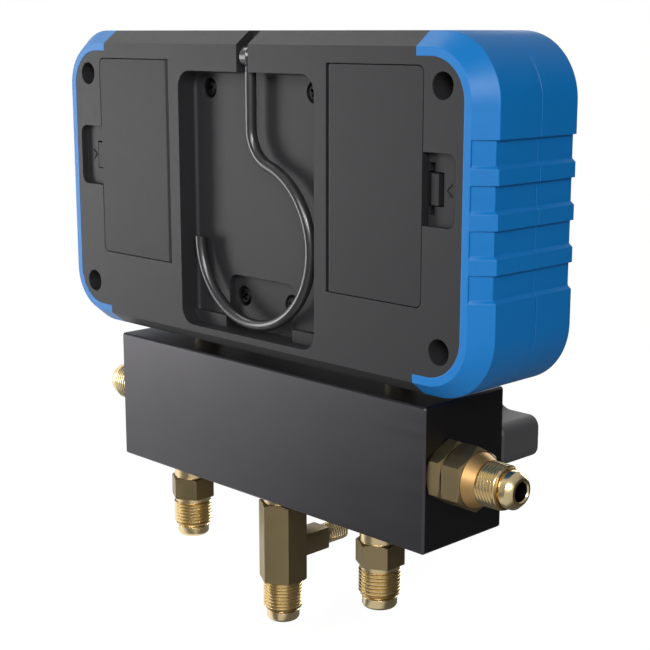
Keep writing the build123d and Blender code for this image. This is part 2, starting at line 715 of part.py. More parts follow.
# Hanging hook: eye, stem, neck bend and wide bow in one plane behind the pivot
with BuildPart() as hook:
    with BuildLine(Plane.XZ) as hook_line:
        stem = Line((0, 0), (0, -STEM_L))
        neck = JernArc(stem @ 1, stem % 1, NECK_R, -NECK_TURN)
        JernArc(neck @ 1, neck % 1, BOW_R, 180 + NECK_TURN)
    with BuildSketch(Plane.XY):
        Circle(ROD_D / 2)
    sweep(path=hook_line.wire())
    with BuildSketch(Plane.YZ.offset(-EYE_W / 2)) as eye_outline:
        Circle(EYE_R)
    eye = extrude(eye_outline.sketch, amount=EYE_W, mode=Mode.PRIVATE)
    add(eye.chamfer(EYE_EDGE, EYE_EDGE, eye.edges().filter_by(GeomType.CIRCLE)))
    bore(Plane.YZ.offset(EYE_W), PIN_D + 2 * RUNNING, 2 * EYE_W)
label_and_export(hook.part, "hook")

with BuildPart() as hook_pin:
    stud(Plane.YZ.offset(-PIN_L / 2), PIN_D, PIN_L)
label_and_export(hook_pin.part, "hook_pin")

# Battery door: rounded hinge edge with its pins, and a sprung latch leg
with BuildPart() as right_door:
    with BuildSketch(at_depth(0)):
        with Locations((DOOR_X, DOOR_Z)):
            RectangleRounded(DOOR_W, DOOR_L, DOOR_R)
        with Locations((HINGE_X, DOOR_Z)):
            Rectangle(DOOR_T, DOOR_L, align=(Align.MAX, Align.CENTER), mode=Mode.SUBTRACT)
    extrude(amount=DOOR_T)
    hinge_base = seat(HINGE_X, HINGE_DEPTH, DOOR_Z - DOOR_L / 2, (0, 0, 1), (1, 0, 0))
    stud(hinge_base, DOOR_T, DOOR_L)
    stud(hinge_base.offset(-HINGE_PIN_L), HINGE_PIN_D, DOOR_L + 2 * HINGE_PIN_L)
    with BuildSketch(at_height(DOOR_Z + LATCH_H / 2)):
        with BuildLine():
            leg_x = DOOR_EDGE_X - LATCH_INSET
            finger_x = DOOR_EDGE_X + FINGER_X
            Polyline(
                (leg_x - LATCH_T, DOOR_T / 2),
                (leg_x - LATCH_T, LATCH_D),
                (finger_x, LATCH_D),
                (finger_x, FINGER_D),
                (finger_x - FINGER_T, FINGER_D),
                (finger_x - FINGER_T, LATCH_D - LATCH_T),
                (leg_x, LATCH_D - LATCH_T),
                (leg_x, DOOR_T / 2),
                close=True,
            )
        make_face()
    extrude(amount=LATCH_H)
label_and_export(right_door.part, "battery_door_right")

# Two cells side by side, one turned over
with BuildPart() as right_cells:
    for x_step, upward in ((-1, 1), (1, -1)):
        cell_x = DOOR_X + x_step * (CELL_D / 2 + RUNNING)
        foot_z = DOOR_Z - upward * CELL_L / 2
        foot = seat(cell_x, CELL_DEPTH, foot_z, (0, 0, upward), (1, 0, 0))
        stud(foot, CELL_D, CELL_L - CELL_CAP_L)
        stud(foot.offset(CELL_L - CELL_CAP_L), CELL_CAP_D, CELL_CAP_L)
label_and_export(right_cells.part, "battery_cells_right")

# Contact plates at both ends of the bay, each with a coned spring where a flat end bears
with BuildPart() as right_contacts:
    for x_step, spring_end in ((-1, -1), (1, 1)):
        plate_x = DOOR_X + x_step * (CELL_D / 2 + RUNNING)
        for end in (-1, 1):
            wall = seat(plate_x, CELL_DEPTH, DOOR_Z + end * BAY_L / 2, (0, 0, -end), (1, 0, 0))
            with BuildSketch(wall) as plate:
                Rectangle(CONTACT_SIDE, CONTACT_SIDE)
            extrude(plate.sketch, amount=CONTACT_T)
            reach = (BAY_L - CELL_L) / 2 - CONTACT_T
            if end == spring_end:
                cone(wall.offset(CONTACT_T), SPRING_D, CELL_CAP_D, reach)
            else:
                cone(wall.offset(CONTACT_T), CELL_CAP_D, CELL_CAP_D - 1, reach)
label_and_export(right_contacts.part, "battery_contacts_right")

right_hand_pieces = {
    "battery_door_left": right_door,
    "battery_cells_left": right_cells,
    "battery_contacts_left": right_contacts,
}
for name, right_hand in right_hand_pieces.items():
    with BuildPart() as left_hand:
        mirror(right_hand.part, about=Plane.YZ)
    label_and_export(left_hand.part, name)

# Display stack: window, frame, panel and backlight
with BuildPart() as display_window:
    with BuildSketch(at_depth(HOUSING_D - WINDOW_SINK)):
        with Locations((0, WINDOW_Z)):
            RectangleRounded(WINDOW_W, WINDOW_H, WINDOW_R)
    extrude(amount=-WINDOW_T)
label_and_export(display_window.part, "display_window")

lcd_w = WINDOW_W - 2 * WINDOW_RIM - 2 * SEATED
lcd_h = WINDOW_H - 2 * WINDOW_RIM - 2 * SEATED
panel_front = FACE_INSIDE - SEATED
panel_back = panel_front - LCD_T
with BuildPart() as lcd_frame:
    with BuildSketch(at_depth(BOARD_FRONT)):
        with Locations((0, WINDOW_Z)):
            Rectangle(lcd_w + 2 * LCD_FRAME_WALL, lcd_h + 2 * LCD_FRAME_WALL)
            Rectangle(lcd_w - 2 * LCD_LEDGE, lcd_h - 2 * LCD_LEDGE, mode=Mode.SUBTRACT)
    extrude(amount=FACE_INSIDE - BOARD_FRONT)
    with BuildSketch(at_depth(FACE_INSIDE)):
        with Locations((0, WINDOW_Z)):
            Rectangle(lcd_w + 2 * SEATED, lcd_h + 2 * SEATED)
    extrude(amount=-(FACE_INSIDE - panel_back), mode=Mode.SUBTRACT)
label_and_export(lcd_frame.part, "lcd_frame")

with BuildPart() as lcd_panel:
    with BuildSketch(at_depth(panel_back)):
        with Locations((0, WINDOW_Z)):
            Rectangle(lcd_w, lcd_h)
    extrude(amount=LCD_T)
label_and_export(lcd_panel.part, "lcd_panel")

with BuildPart() as lcd_backlight:
    with BuildSketch(at_depth(panel_back - BACKLIGHT_T)):
        with Locations((0, WINDOW_Z)):
            Rectangle(lcd_w - 2 * (LCD_LEDGE + SEATED), lcd_h - 2 * (LCD_LEDGE + SEATED))
    extrude(amount=BACKLIGHT_T)
label_and_export(lcd_backlight.part, "lcd_backlight")

with BuildPart() as circuit_board:
    with BuildSketch(at_depth(BOARD_DEPTH)):
        Rectangle(BOARD_W, BOARD_H)
        with Locations(*[(x * BOARD_W / 2, z * BOARD_H / 2) for x in (-1, 1) for z in (-1, 1)]):
            Rectangle(2 * BOARD_NOTCH, 2 * BOARD_NOTCH, mode=Mode.SUBTRACT)
        with Locations(*STANDOFFS):
            Circle(BOARD_SCREW_D / 2 + RUNNING, mode=Mode.SUBTRACT)
    extrude(amount=BOARD_T)
label_and_export(circuit_board.part, "circuit_board")

# Keys on a rubber mat: each cap has a flange that it stops against
flange_front = FACE_INSIDE - FREE
flange_back = flange_front - KEY_FLANGE_T
dome_top = flange_back - KEY_TRAVEL - FREE
with BuildPart() as keypad_mat:
    with BuildSketch(at_depth(BOARD_FRONT)):
        with Locations((0, KEY_Z)):
            mat_w = (len(KEY_NAMES) - 1) * KEY_PITCH + KEY_W
            RectangleRounded(mat_w + 2 * MAT_MARGIN, KEY_H + 2 * MAT_MARGIN, KEY_R)
    extrude(amount=MAT_T)
    for index in range(len(KEY_NAMES)):
        key_x = (index - (len(KEY_NAMES) - 1) / 2) * KEY_PITCH
        dome_base = seat(key_x, BOARD_FRONT + MAT_T, KEY_Z, (0, -1, 0), (1, 0, 0))
        stud(dome_base, DOME_D, dome_top - BOARD_FRONT - MAT_T)
label_and_export(keypad_mat.part, "keypad_mat")

for index, name in enumerate(KEY_NAMES):
    with BuildPart() as key:
        with BuildSketch(at_depth(flange_front)):
            with Locations(((index - (len(KEY_NAMES) - 1) / 2) * KEY_PITCH, KEY_Z)):
                RectangleRounded(KEY_W, KEY_H, KEY_R)
        extrude(amount=HOUSING_D + KEY_PROUD - flange_front)
        chamfer(key.faces().sort_by(Axis.Y)[0].edges(), KEY_ROUND)
        with BuildSketch(at_depth(flange_back)):
            with Locations(((index - (len(KEY_NAMES) - 1) / 2) * KEY_PITCH, KEY_Z)):
                RectangleRounded(KEY_W + 2 * KEY_FLANGE, KEY_H + 2 * KEY_FLANGE, KEY_R)
        extrude(amount=KEY_FLANGE_T)
    label_and_export(key.part, name)

# Posts that carry the housing on the block, their nuts and the pressure sensors
with BuildPart() as post_nuts:
    for side in SIDES.values():
        nut_seat = post_seat(side, FLOOR_WALL_TOP)
        hexagon(nut_seat, NUT_AF, NUT_T)
        bore(nut_seat.offset(NUT_T), POST_D + 2 * RUNNING, NUT_T)
label_and_export(post_nuts.part, "post_nuts")

for name, side in SIDES.items():
    with BuildPart() as sensor_post:
        post_foot = post_seat(side, BLOCK_TOP - POST_SHANK_L)
        post_l = POST_TOP - BLOCK_TOP + POST_SHANK_L
        stud(post_foot, POST_D, post_l)
        bore(post_foot.offset(post_l), SENSE_D, post_l)
    label_and_export(sensor_post.part, f"sensor_post_{name}")

    with BuildPart() as pressure_sensor:
        can_foot = post_seat(side, FLOOR_WALL_TOP + NUT_T)
        stud(can_foot, SENSOR_D, SENSOR_L)
        socket_l = POST_TOP - FLOOR_WALL_TOP - NUT_T + SEATED
        bore(can_foot.offset(socket_l), POST_D + 2 * RUNNING, socket_l)
        with BuildSketch(can_foot.offset(SENSOR_L)):
            Rectangle(PLUG_W, PLUG_W)
        extrude(amount=PLUG_L)
    label_and_export(pressure_sensor.part, f"pressure_sensor_{name}")

# Manifold block with its galleries and valve chambers
with BuildPart() as manifold_block:
    with BuildSketch(at_height(BLOCK_TOP)):
        with Locations((0, BLOCK_BACK + BLOCK_D / 2)):
            Rectangle(BLOCK_W, BLOCK_D)
    extrude(amount=BLOCK_H)
    chamfer(manifold_block.edges(), BLOCK_EDGE)
    for side in SIDES.values():
        bore(end_seat(side), SHANK_D + 2 * RUNNING, SHANK_L)
        bore(end_seat(side), GALLERY_D, BLOCK_W / 2 - PORT_X)
        bore(port_seat(side * PORT_X, PORT_DEPTH), SHANK_D + 2 * RUNNING, SHANK_L)
        bore(port_seat(side * PORT_X, PORT_DEPTH), GALLERY_D, AXIS_Z - BLOCK_BOTTOM)
        bore(valve_seat(side, BLOCK_FRONT), BONNET_D + 2 * RUNNING, BLOCK_FRONT - CHAMBER_FRONT)
        bore(valve_seat(side, CHAMBER_FRONT), CHAMBER_D, CHAMBER_L)
        bore(valve_seat(side, SEAT_DEPTH), GALLERY_D, SEAT_DEPTH - PORT_DEPTH)
        bore(post_seat(side, BLOCK_TOP), POST_D + 2 * RUNNING, POST_SHANK_L)
        post_floor = BLOCK_TOP - POST_SHANK_L
        sense_drop = post_floor - AXIS_Z
        sense_run = POST_DEPTH - PORT_DEPTH
        slant = seat(side * PORT_X, POST_DEPTH, post_floor, (0, -sense_run, sense_drop), (1, 0, 0))
        bore(slant, SENSE_D, (sense_run**2 + sense_drop**2) ** 0.5)
    bore(port_seat(0, TEE_DEPTH), SHANK_D + 2 * RUNNING, SHANK_L)
    bore(port_seat(0, TEE_DEPTH), GALLERY_D, AXIS_Z - BLOCK_BOTTOM)
    sight_seat = seat(0, BLOCK_FRONT, AXIS_Z, (0, -1, 0), (0, 0, 1))
    bore(sight_seat, SIGHT_THREAD_D + 2 * RUNNING, SIGHT_THREAD_L)
    bore(sight_seat, SIGHT_BORE_D, BLOCK_FRONT - TEE_DEPTH)
    cross_seat = seat(PORT_X, (SEAT_DEPTH + CHAMBER_FRONT) / 2, AXIS_Z, (1, 0, 0), (0, 0, 1))
    bore(cross_seat, CROSS_D, 2 * PORT_X)
label_and_export(manifold_block.part, "manifold_block")

# Bottom ports: shank in the block, neck, hexagon and flare
for name, side in SIDES.items():
    with BuildPart() as bottom_port:
        underside = port_seat(side * PORT_X, PORT_DEPTH)
        stud(underside.offset(-SHANK_L), SHANK_D, SHANK_L)
        stud(underside, NECK_D, NECK_L)
        hexagon(underside.offset(NECK_L), PORT_HEX_AF, PORT_HEX_L)
        thread_base = underside.offset(NECK_L + PORT_HEX_L)
        flare_end(thread_base, PORT_THREAD_L, PORT_NOSE_D, PORT_NOSE_L, PORT_NOSE_D - 2 * THREAD_EDGE)
        port_l = SHANK_L + NECK_L + PORT_HEX_L + PORT_THREAD_L + PORT_NOSE_L
        bore(underside.offset(port_l - SHANK_L), FLARE_BORE_D, port_l)
    label_and_export(bottom_port.part, f"bottom_port_{name}")

# Centre tee: long hexagon with a square side branch towards the front
with BuildPart() as center_tee:
    underside = port_seat(0, TEE_DEPTH)
    stud(underside.offset(-SHANK_L), SHANK_D, SHANK_L)
    hexagon(underside, TEE_HEX_AF, TEE_HEX_L)
    thread_base = underside.offset(TEE_HEX_L)
    flare_end(thread_base, TEE_THREAD_L, PORT_NOSE_D, TEE_NOSE_L, PORT_NOSE_D - 2 * THREAD_EDGE)
    branch_axis = seat(0, TEE_DEPTH, BLOCK_BOTTOM - BRANCH_DROP, (0, -1, 0), (0, 0, 1))
    with BuildSketch(branch_axis) as branch:
        Rectangle(BRANCH_SIDE, BRANCH_SIDE)
    extrude(branch.sketch, amount=BRANCH_L)
    chamfer(center_tee.faces().sort_by(Axis.Y)[0].edges(), THREAD_EDGE)
    stud(branch_axis.offset(BRANCH_L), BRANCH_THREAD_D, BRANCH_THREAD_L)
    chamfer(center_tee.faces().sort_by(Axis.Y)[0].edges(), THREAD_EDGE)
    tee_l = TEE_HEX_L + TEE_THREAD_L + TEE_NOSE_L
    bore(underside.offset(tee_l), FLARE_BORE_D, tee_l + SHANK_L)
    bore(branch_axis.offset(BRANCH_L + BRANCH_THREAD_L), BRANCH_BORE_D, BRANCH_L + BRANCH_THREAD_L)
label_and_export(center_tee.part, "center_tee")

# Low-side end port: lock nut, hexagon, cone and flare
block_end = end_seat(SIDES["low"])
with BuildPart() as end_nut_low:
    hexagon(block_end, END_NUT_AF, END_NUT_L)
    bore(block_end.offset(END_NUT_L), SHANK_D + 2 * RUNNING, END_NUT_L)
label_and_export(end_nut_low.part, "end_nut_low")

with BuildPart() as end_port_low:
    stud(block_end.offset(-SHANK_L), SHANK_D, SHANK_L + END_NUT_L + END_GAP)
    hex_base = block_end.offset(END_NUT_L + END_GAP)
    hexagon(hex_base, END_NUT_AF, END_HEX_L)
    cone_base = hex_base.offset(END_HEX_L)
    cone(cone_base, END_NUT_AF, FLARE_THREAD_D, END_CONE_L)
    flare_end(cone_base.offset(END_CONE_L), END_THREAD_L, END_NOSE_D, END_NOSE_L, END_TIP_D)
    outside_l = END_NUT_L + END_GAP + END_HEX_L + END_CONE_L + END_THREAD_L + END_NOSE_L
    bore(block_end.offset(outside_l), FLARE_BORE_D, outside_l + SHANK_L)
label_and_export(end_port_low.part, "end_port_low")

# High-side end port: a shorter stub with a slim round lock ring in place of the nut
block_end = end_seat(SIDES["high"])
with BuildPart() as end_nut_high:
    stud(block_end, STUB_RING_D, STUB_RING_L)
    bore(block_end.offset(STUB_RING_L), SHANK_D + 2 * RUNNING, STUB_RING_L)
label_and_export(end_nut_high.part, "end_nut_high")

with BuildPart() as end_port_high:
    stud(block_end.offset(-SHANK_L), SHANK_D, SHANK_L + STUB_FOOT_L)
    flare_end(block_end.offset(STUB_FOOT_L), STUB_THREAD_L, END_NOSE_D, END_NOSE_L, END_TIP_D)
    outside_l = STUB_FOOT_L + STUB_THREAD_L + END_NOSE_L
    bore(block_end.offset(outside_l), FLARE_BORE_D, outside_l + SHANK_L)
label_and_export(end_port_high.part, "end_port_high")

# Valves: bonnet, sliding plunger with its seals, turning stem and four-lobed knob
for name, side in SIDES.items():
    chamber_front = valve_seat(side, CHAMBER_FRONT)
    block_front = valve_seat(side, BLOCK_FRONT)
    with BuildPart() as valve_bonnet:
        stud(chamber_front, BONNET_D, BLOCK_FRONT - CHAMBER_FRONT)
        hexagon(block_front, BONNET_HEX_AF, BONNET_HEX_L)
        bonnet_l = BLOCK_FRONT + BONNET_HEX_L - CHAMBER_FRONT
        bore(block_front.offset(BONNET_HEX_L), STEM_D + 2 * RUNNING, bonnet_l)
    label_and_export(valve_bonnet.part, f"valve_bonnet_{name}")

    plunger_back = valve_seat(side, SEAT_DEPTH)
    plunger_front = plunger_back.offset(PLUNGER_L)
    ring_back = plunger_back.offset((PLUNGER_L + DISC_T - RING_W) / 2)
    ring_root_d = PLUNGER_D - 2 * RING_SINK
    with BuildPart() as valve_plunger:
        stud(plunger_back, PLUNGER_D, PLUNGER_L)
        bore(plunger_back, DISC_D + 2 * RUNNING, -DISC_T)
        with BuildSketch(ring_back):
            Circle(PLUNGER_D)
            Circle(ring_root_d / 2, mode=Mode.SUBTRACT)
        extrude(amount=RING_W, mode=Mode.SUBTRACT)
        bore(plunger_front, SPIGOT_D + 2 * RUNNING, SPIGOT_L)
    label_and_export(valve_plunger.part, f"valve_plunger_{name}")

    with BuildPart() as valve_seals:
        stud(plunger_back, DISC_D, DISC_T)
        with BuildSketch(ring_back):
            Circle(PLUNGER_D / 2 + RING_PROUD)
            Circle(ring_root_d / 2 + RUNNING, mode=Mode.SUBTRACT)
        extrude(amount=RING_W)
    label_and_export(valve_seals.part, f"valve_seals_{name}")

    with BuildPart() as valve_stem:
        stud(plunger_front.offset(-SPIGOT_L), SPIGOT_D, SPIGOT_L)
        stud(plunger_front, STEM_D, STEM_END - SEAT_DEPTH - PLUNGER_L)
        bore(valve_seat(side, STEM_END), KNOB_SCREW_D + 2 * RUNNING, KNOB_SCREW_L + SEATED)
    label_and_export(valve_stem.part, f"valve_stem_{name}")

    cap_back = KNOB_FRONT - CAP_SINK - CAP_T
    with BuildPart() as knob:
        with BuildSketch(valve_seat(side, KNOB_BACK)):
            RectangleRounded(2 * KNOB_REACH, LOBE_W, LOBE_TIP_R)
            RectangleRounded(LOBE_W, 2 * KNOB_REACH, LOBE_TIP_R)
            fillet(vertices().sort_by_distance((0, 0))[:4], LOBE_ROOT_R)
        extrude(amount=KNOB_L)
        chamfer(knob.faces().sort_by(Axis.Y)[0].edges(), KNOB_EDGE)
        chamfer(knob.faces().sort_by(Axis.Y)[-1].edges(), KNOB_BACK_EDGE)
        bore(valve_seat(side, KNOB_FLOOR), KNOB_RECESS_D, KNOB_FLOOR - KNOB_BACK)
        bore(valve_seat(side, STEM_END), STEM_D + 2 * RUNNING, STEM_END - KNOB_FLOOR)
        bore(valve_seat(side, KNOB_FRONT), KNOB_SCREW_D + 2 * SEATED, KNOB_FRONT - STEM_END)
        bore(valve_seat(side, KNOB_FRONT), KNOB_HEAD_D + 2 * SEATED, KNOB_FRONT - cap_back + KNOB_HEAD_T)
        bore(valve_seat(side, KNOB_FRONT), CAP_D + 2 * SEATED, KNOB_FRONT - cap_back)
    label_and_export(knob.part, f"valve_knob_{name}")

    with BuildPart() as knob_cap:
        stud(valve_seat(side, cap_back), CAP_D, CAP_T)
    label_and_export(knob_cap.part, f"knob_cap_{name}")

    with BuildPart() as knob_screw:
        under_head = valve_seat(side, cap_back - KNOB_HEAD_T)
        stud(under_head, KNOB_HEAD_D, KNOB_HEAD_T - SEATED)
        stud(under_head.offset(-KNOB_SCREW_L), KNOB_SCREW_D, KNOB_SCREW_L)
    label_and_export(knob_screw.part, f"knob_screw_{name}")

# Sight glass between the valves
sight_seat = seat(0, BLOCK_FRONT, AXIS_Z, (0, -1, 0), (0, 0, 1))
with BuildPart() as sight_ring:
    stud(sight_seat.offset(-SIGHT_THREAD_L), SIGHT_THREAD_D, SIGHT_THREAD_L)
    hexagon(sight_seat, SIGHT_HEX_AF, SIGHT_HEX_L)
    bore(sight_seat.offset(SIGHT_HEX_L), SIGHT_BORE_D, SIGHT_HEX_L + SIGHT_THREAD_L)
    bore(sight_seat.offset(SIGHT_HEX_L), SIGHT_GLASS_D + 2 * RUNNING, SIGHT_GLASS_T + SEATED)
label_and_export(sight_ring.part, "sight_ring")

with BuildPart() as sight_glass:
    stud(sight_seat.offset(SIGHT_HEX_L - SIGHT_GLASS_T - SEATED), SIGHT_GLASS_D, SIGHT_GLASS_T)
label_and_export(sight_glass.part, "sight_glass")
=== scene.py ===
"""The looks of the refrigerant manifold gauge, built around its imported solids."""

import logging
from dataclasses import dataclass, field
from enum import Enum
from math import cos, pi, radians, tau
from typing import Callable, Iterable, Sequence

import bpy
from mathutils import Matrix, Vector


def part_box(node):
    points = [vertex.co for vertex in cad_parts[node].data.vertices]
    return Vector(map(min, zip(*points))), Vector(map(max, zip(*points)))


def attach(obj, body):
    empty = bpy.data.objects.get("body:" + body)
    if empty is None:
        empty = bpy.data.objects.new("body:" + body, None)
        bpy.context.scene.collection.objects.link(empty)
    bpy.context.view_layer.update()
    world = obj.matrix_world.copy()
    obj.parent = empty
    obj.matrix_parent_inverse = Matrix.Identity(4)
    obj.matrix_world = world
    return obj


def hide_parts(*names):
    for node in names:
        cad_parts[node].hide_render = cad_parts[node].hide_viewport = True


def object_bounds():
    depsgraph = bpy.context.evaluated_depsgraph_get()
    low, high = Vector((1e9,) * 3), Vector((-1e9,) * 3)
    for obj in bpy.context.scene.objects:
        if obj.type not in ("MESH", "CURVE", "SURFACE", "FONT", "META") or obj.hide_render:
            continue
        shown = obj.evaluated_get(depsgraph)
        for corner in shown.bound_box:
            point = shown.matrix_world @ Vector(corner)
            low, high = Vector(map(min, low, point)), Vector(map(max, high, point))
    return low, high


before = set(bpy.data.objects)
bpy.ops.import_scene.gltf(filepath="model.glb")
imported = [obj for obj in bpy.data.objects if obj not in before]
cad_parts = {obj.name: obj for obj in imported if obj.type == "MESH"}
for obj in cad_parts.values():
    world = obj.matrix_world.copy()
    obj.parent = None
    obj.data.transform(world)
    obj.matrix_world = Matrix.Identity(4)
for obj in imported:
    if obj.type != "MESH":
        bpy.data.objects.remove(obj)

CAD_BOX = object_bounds()
MM = 0.001
LOG = logging.getLogger("manifold_gauge")
THREAD_R = 5.556
BORE_R = 2.4
Colour = tuple[float, float, float]
Piece = bpy.types.Object
Socket = bpy.types.NodeSocket


def grey(level: float) -> Colour:
    """A grey of a level."""
    return (level, level, level)


class Value:
    """A number socket that shader maths is written with."""

    def __init__(self, shader: "Shader", socket: Socket) -> None:
        """Keeps the socket and the shader that it belongs to."""
        self.shader = shader
        self.socket = socket

    def maths(self, operation: str, first: "Value | float", second: "Value | float") -> "Value":
        """Adds one Math node.

        Args:
            operation: The node's operation.
            first: Its first number or socket.
            second: Its second number or socket.

        Returns:
            The node's result.
        """
        node = self.shader.node("ShaderNodeMath", {"operation": operation}, {0: first, 1: second})
        return self.shader.value(node)

    def __add__(self, other: "Value | float") -> "Value":
        """The sum of both."""
        return self.maths("ADD", self, other)

    __radd__ = __add__

    def __sub__(self, other: "Value | float") -> "Value":
        """This less the other."""
        return self.maths("SUBTRACT", self, other)

    def __rsub__(self, other: float) -> "Value":
        """The other less this."""
        return self.maths("SUBTRACT", other, self)

    def __mul__(self, other: "Value | float") -> "Value":
        """The product of both."""
        return self.maths("MULTIPLY", self, other)

    __rmul__ = __mul__

    def __truediv__(self, other: "Value | float") -> "Value":
        """This divided by the other."""
        return self.maths("DIVIDE", self, other)

    def __gt__(self, other: "Value | float") -> "Value":
        """One where this is greater, and nought elsewhere."""
        return self.maths("GREATER_THAN", self, other)

    def __abs__(self) -> "Value":
        """The size of this, without its sign."""
        return self.maths("ABSOLUTE", self, 0.0)

    def fract(self) -> "Value":
        """What is left of this after its whole part."""
        return self.maths("FRACT", self, 0.0)

    def stripes(self, start: float, full: float) -> "Value":
        """One line across each whole number, which rises from start to full."""
        return abs(self.fract() - 0.5).ramp(start, full)

    def ramp(self, low: float, high: float) -> "Value":
        """Goes from nought at low to one at high and is smooth between.

        Args:
            low: Where the ramp starts.
            high: Where it ends.

        Returns:
            The ramped value.
        """
        settings = {"interpolation_type": "SMOOTHSTEP"}
        inputs = {"Value": self, "From Min": low, "From Max": high}
        return self.shader.value(self.shader.node("ShaderNodeMapRange", settings, inputs))


@dataclass
class Shader:
    """The nodes of a material or of the world, with the surface's shader at hand."""

    owner: bpy.types.Material | bpy.types.World
    surface_kind: str = "ShaderNodeBsdfPrincipled"
    output_kind: str = "ShaderNodeOutputMaterial"

    def __post_init__(self) -> None:
        """Empties the owner's nodes and adds the surface's shader and the output."""
        self.owner.use_nodes = True
        self.nodes = self.owner.node_tree.nodes
        self.links = self.owner.node_tree.links
        self.nodes.clear()
        self.surface = self.node(self.surface_kind)
        self.node(self.output_kind, inputs={"Surface": self.surface.outputs[0]})

    def node(self, kind: str, settings: dict | None = None, inputs: dict | None = None) -> bpy.types.Node:
        """Adds a node.

        Args:
            kind: The node's type.
            settings: Its settings, which are set first.
            inputs: Values or links of its sockets, by name or number.

        Returns:
            The new node.
        """
        made = self.nodes.new(kind)
        for name, value in (settings or {}).items():
            setattr(made, name, value)
        for key, value in (inputs or {}).items():
            self.feed(made.inputs[key], value)
        return made

    def feed(self, socket: Socket, value: object) -> None:
        """Links a socket or sets it to a value.

        Args:
            socket: The socket that is fed.
            value: A socket to link to it, or its constant.
        """
        if isinstance(value, Value):
            self.links.new(value.socket, socket)
        elif isinstance(value, Socket):
            self.links.new(value, socket)
        elif socket.type == "RGBA" and len(value) == 3:
            socket.default_value = (*value, 1.0)
        else:
            socket.default_value = value

    def value(self, node: bpy.types.Node, output: str | int = 0) -> Value:
        """A node's output as a number."""
        return Value(self, node.outputs[output])

    def set(self, **values: object) -> None:
        """Sets or links sockets of the surface's shader, with _ for a blank in their names."""
        for name, value in values.items():
            self.feed(self.surface.inputs[name.replace("_", " ")], value)

    def place(self, scale: Sequence[float] = (1, 1, 1)) -> Socket:
        """Object coordinates in metres, scaled."""
        raw = self.node("ShaderNodeTexCoord").outputs["Object"]
        return self.node("ShaderNodeMapping", inputs={"Vector": raw, "Scale": scale}).outputs[0]

    def split(self, vector: Socket) -> tuple[Value, Value, Value]:
        """A vector's three numbers."""
        node = self.node("ShaderNodeSeparateXYZ", inputs={0: vector})
        return self.value(node, 0), self.value(node, 1), self.value(node, 2)

    def cells(self, size_mm: float) -> tuple[Value, Value, Value]:
        """Object coordinates, counted in cells of a size."""
        return self.split(self.place((1 / (size_mm * MM),) * 3))

    def noise(self, grain_mm: float, detail: float = 2.0, stretch: Sequence[float] = (1, 1, 1)) -> Value:
        """Adds cloudy noise.

        Args:
            grain_mm: The size of its spots.
            detail: How many finer layers it has.
            stretch: How much tighter it is along each axis.

        Returns:
            Noise from nought to one.
        """
        inputs = {"Vector": self.place(stretch), "Scale": 1.0 / (grain_mm * MM), "Detail": detail}
        return self.value(self.node("ShaderNodeTexNoise", inputs=inputs), "Fac")

    def mix(self, factor: object, first: object, second: object) -> Socket:
        """Adds a colour between two.

        Args:
            factor: Nought for the first colour, one for the second.
            first: A colour or its socket.
            second: A colour or its socket.

        Returns:
            The mixed colour's socket.
        """
        node = self.node("ShaderNodeMix", {"data_type": "RGBA"}, {0: factor, 6: first, 7: second})
        return node.outputs[2]

    def soft_edges(self, radius_mm: float) -> tuple[Socket, Value]:
        """Rounds off sharp edges by a radius.

        Args:
            radius_mm: The radius.

        Returns:
            The rounded normals, and one on those edges and nought on plain faces.
        """
        rounded = self.node("ShaderNodeBevel", {"samples": 4}, {"Radius": radius_mm * MM}).outputs[0]
        plain = self.node("ShaderNodeNewGeometry").outputs["Normal"]
        dot = self.node("ShaderNodeVectorMath", {"operation": "DOT_PRODUCT"}, {0: rounded, 1: plain})
        return rounded, (1.0 - self.value(dot, "Value")).ramp(0.004, 0.16)

    def bump(self, height: Value, depth_mm: float, normal: Socket | None = None) -> None:
        """Raises the surface by a height pattern.

        Args:
            height: The pattern, from nought to one.
            depth_mm: The height of one.
            normal: The normals under it, if not the mesh's own.
        """
        inputs = {"Height": height, "Distance": depth_mm * MM, "Strength": 1.0}
        if normal is not None:
            inputs["Normal"] = normal
        self.set(Normal=self.node("ShaderNodeBump", inputs=inputs).outputs[0])


@dataclass(frozen=True)
class Finish:
    """A surface that a maker gives a piece."""

    name: str
    colour: Colour
    roughness: float

    def shade(self, share: float) -> Colour:
        """The finish's colour times a share."""
        return tuple(channel * share for channel in self.colour)

    def material(self) -> bpy.types.Material:
        """Makes the finish's material the first time that it is asked for.

        Returns:
            The material.
        """
        name = f"finish_{self.name}"
        found = bpy.data.materials.get(name)
        if found is None:
            found = bpy.data.materials.new(name)
            found.diffuse_color = (*self.colour, 1.0)
            self.paint(Shader(found))
        return found

    def paint(self, shader: Shader) -> None:
        """Lays out the nodes of the finish.

        Args:
            shader: The nodes to lay out.
        """
        raise NotImplementedError


@dataclass(frozen=True)
class Moulded(Finish):
    """Plastic or rubber from a spark-eroded mould, with soft edges that have been rubbed."""

    grain_mm: float = 0.28
    grain_depth_mm: float = 0.02
    edge_mm: float = 0.25
    rubbed: float = 0.25
    coat: float = 0.0
    shine: float = 0.5

    def paint(self, shader: Shader) -> None:
        """Cloudy tone, fine grain, and paler, smoother edges.

        Args:
            shader: The nodes to lay out.
        """
        tone = shader.noise(38.0, 3.0)
        dust = shader.noise(1.6, 4.0)
        rounded, worn = shader.soft_edges(self.edge_mm)
        pale = tuple(min(1.0, channel * 1.5 + 0.012) for channel in self.colour)
        body = shader.mix(tone * 0.7 + dust * 0.3, self.shade(0.88), self.shade(1.1))
        shader.set(
            Base_Color=shader.mix(worn * self.rubbed, body, pale),
            Roughness=dust * 0.1 - worn * 0.08 + (self.roughness - 0.05),
            Specular_IOR_Level=self.shine,
            Coat_Weight=self.coat,
            Coat_Roughness=0.3,
        )
        shader.bump(shader.noise(self.grain_mm), self.grain_depth_mm, rounded)


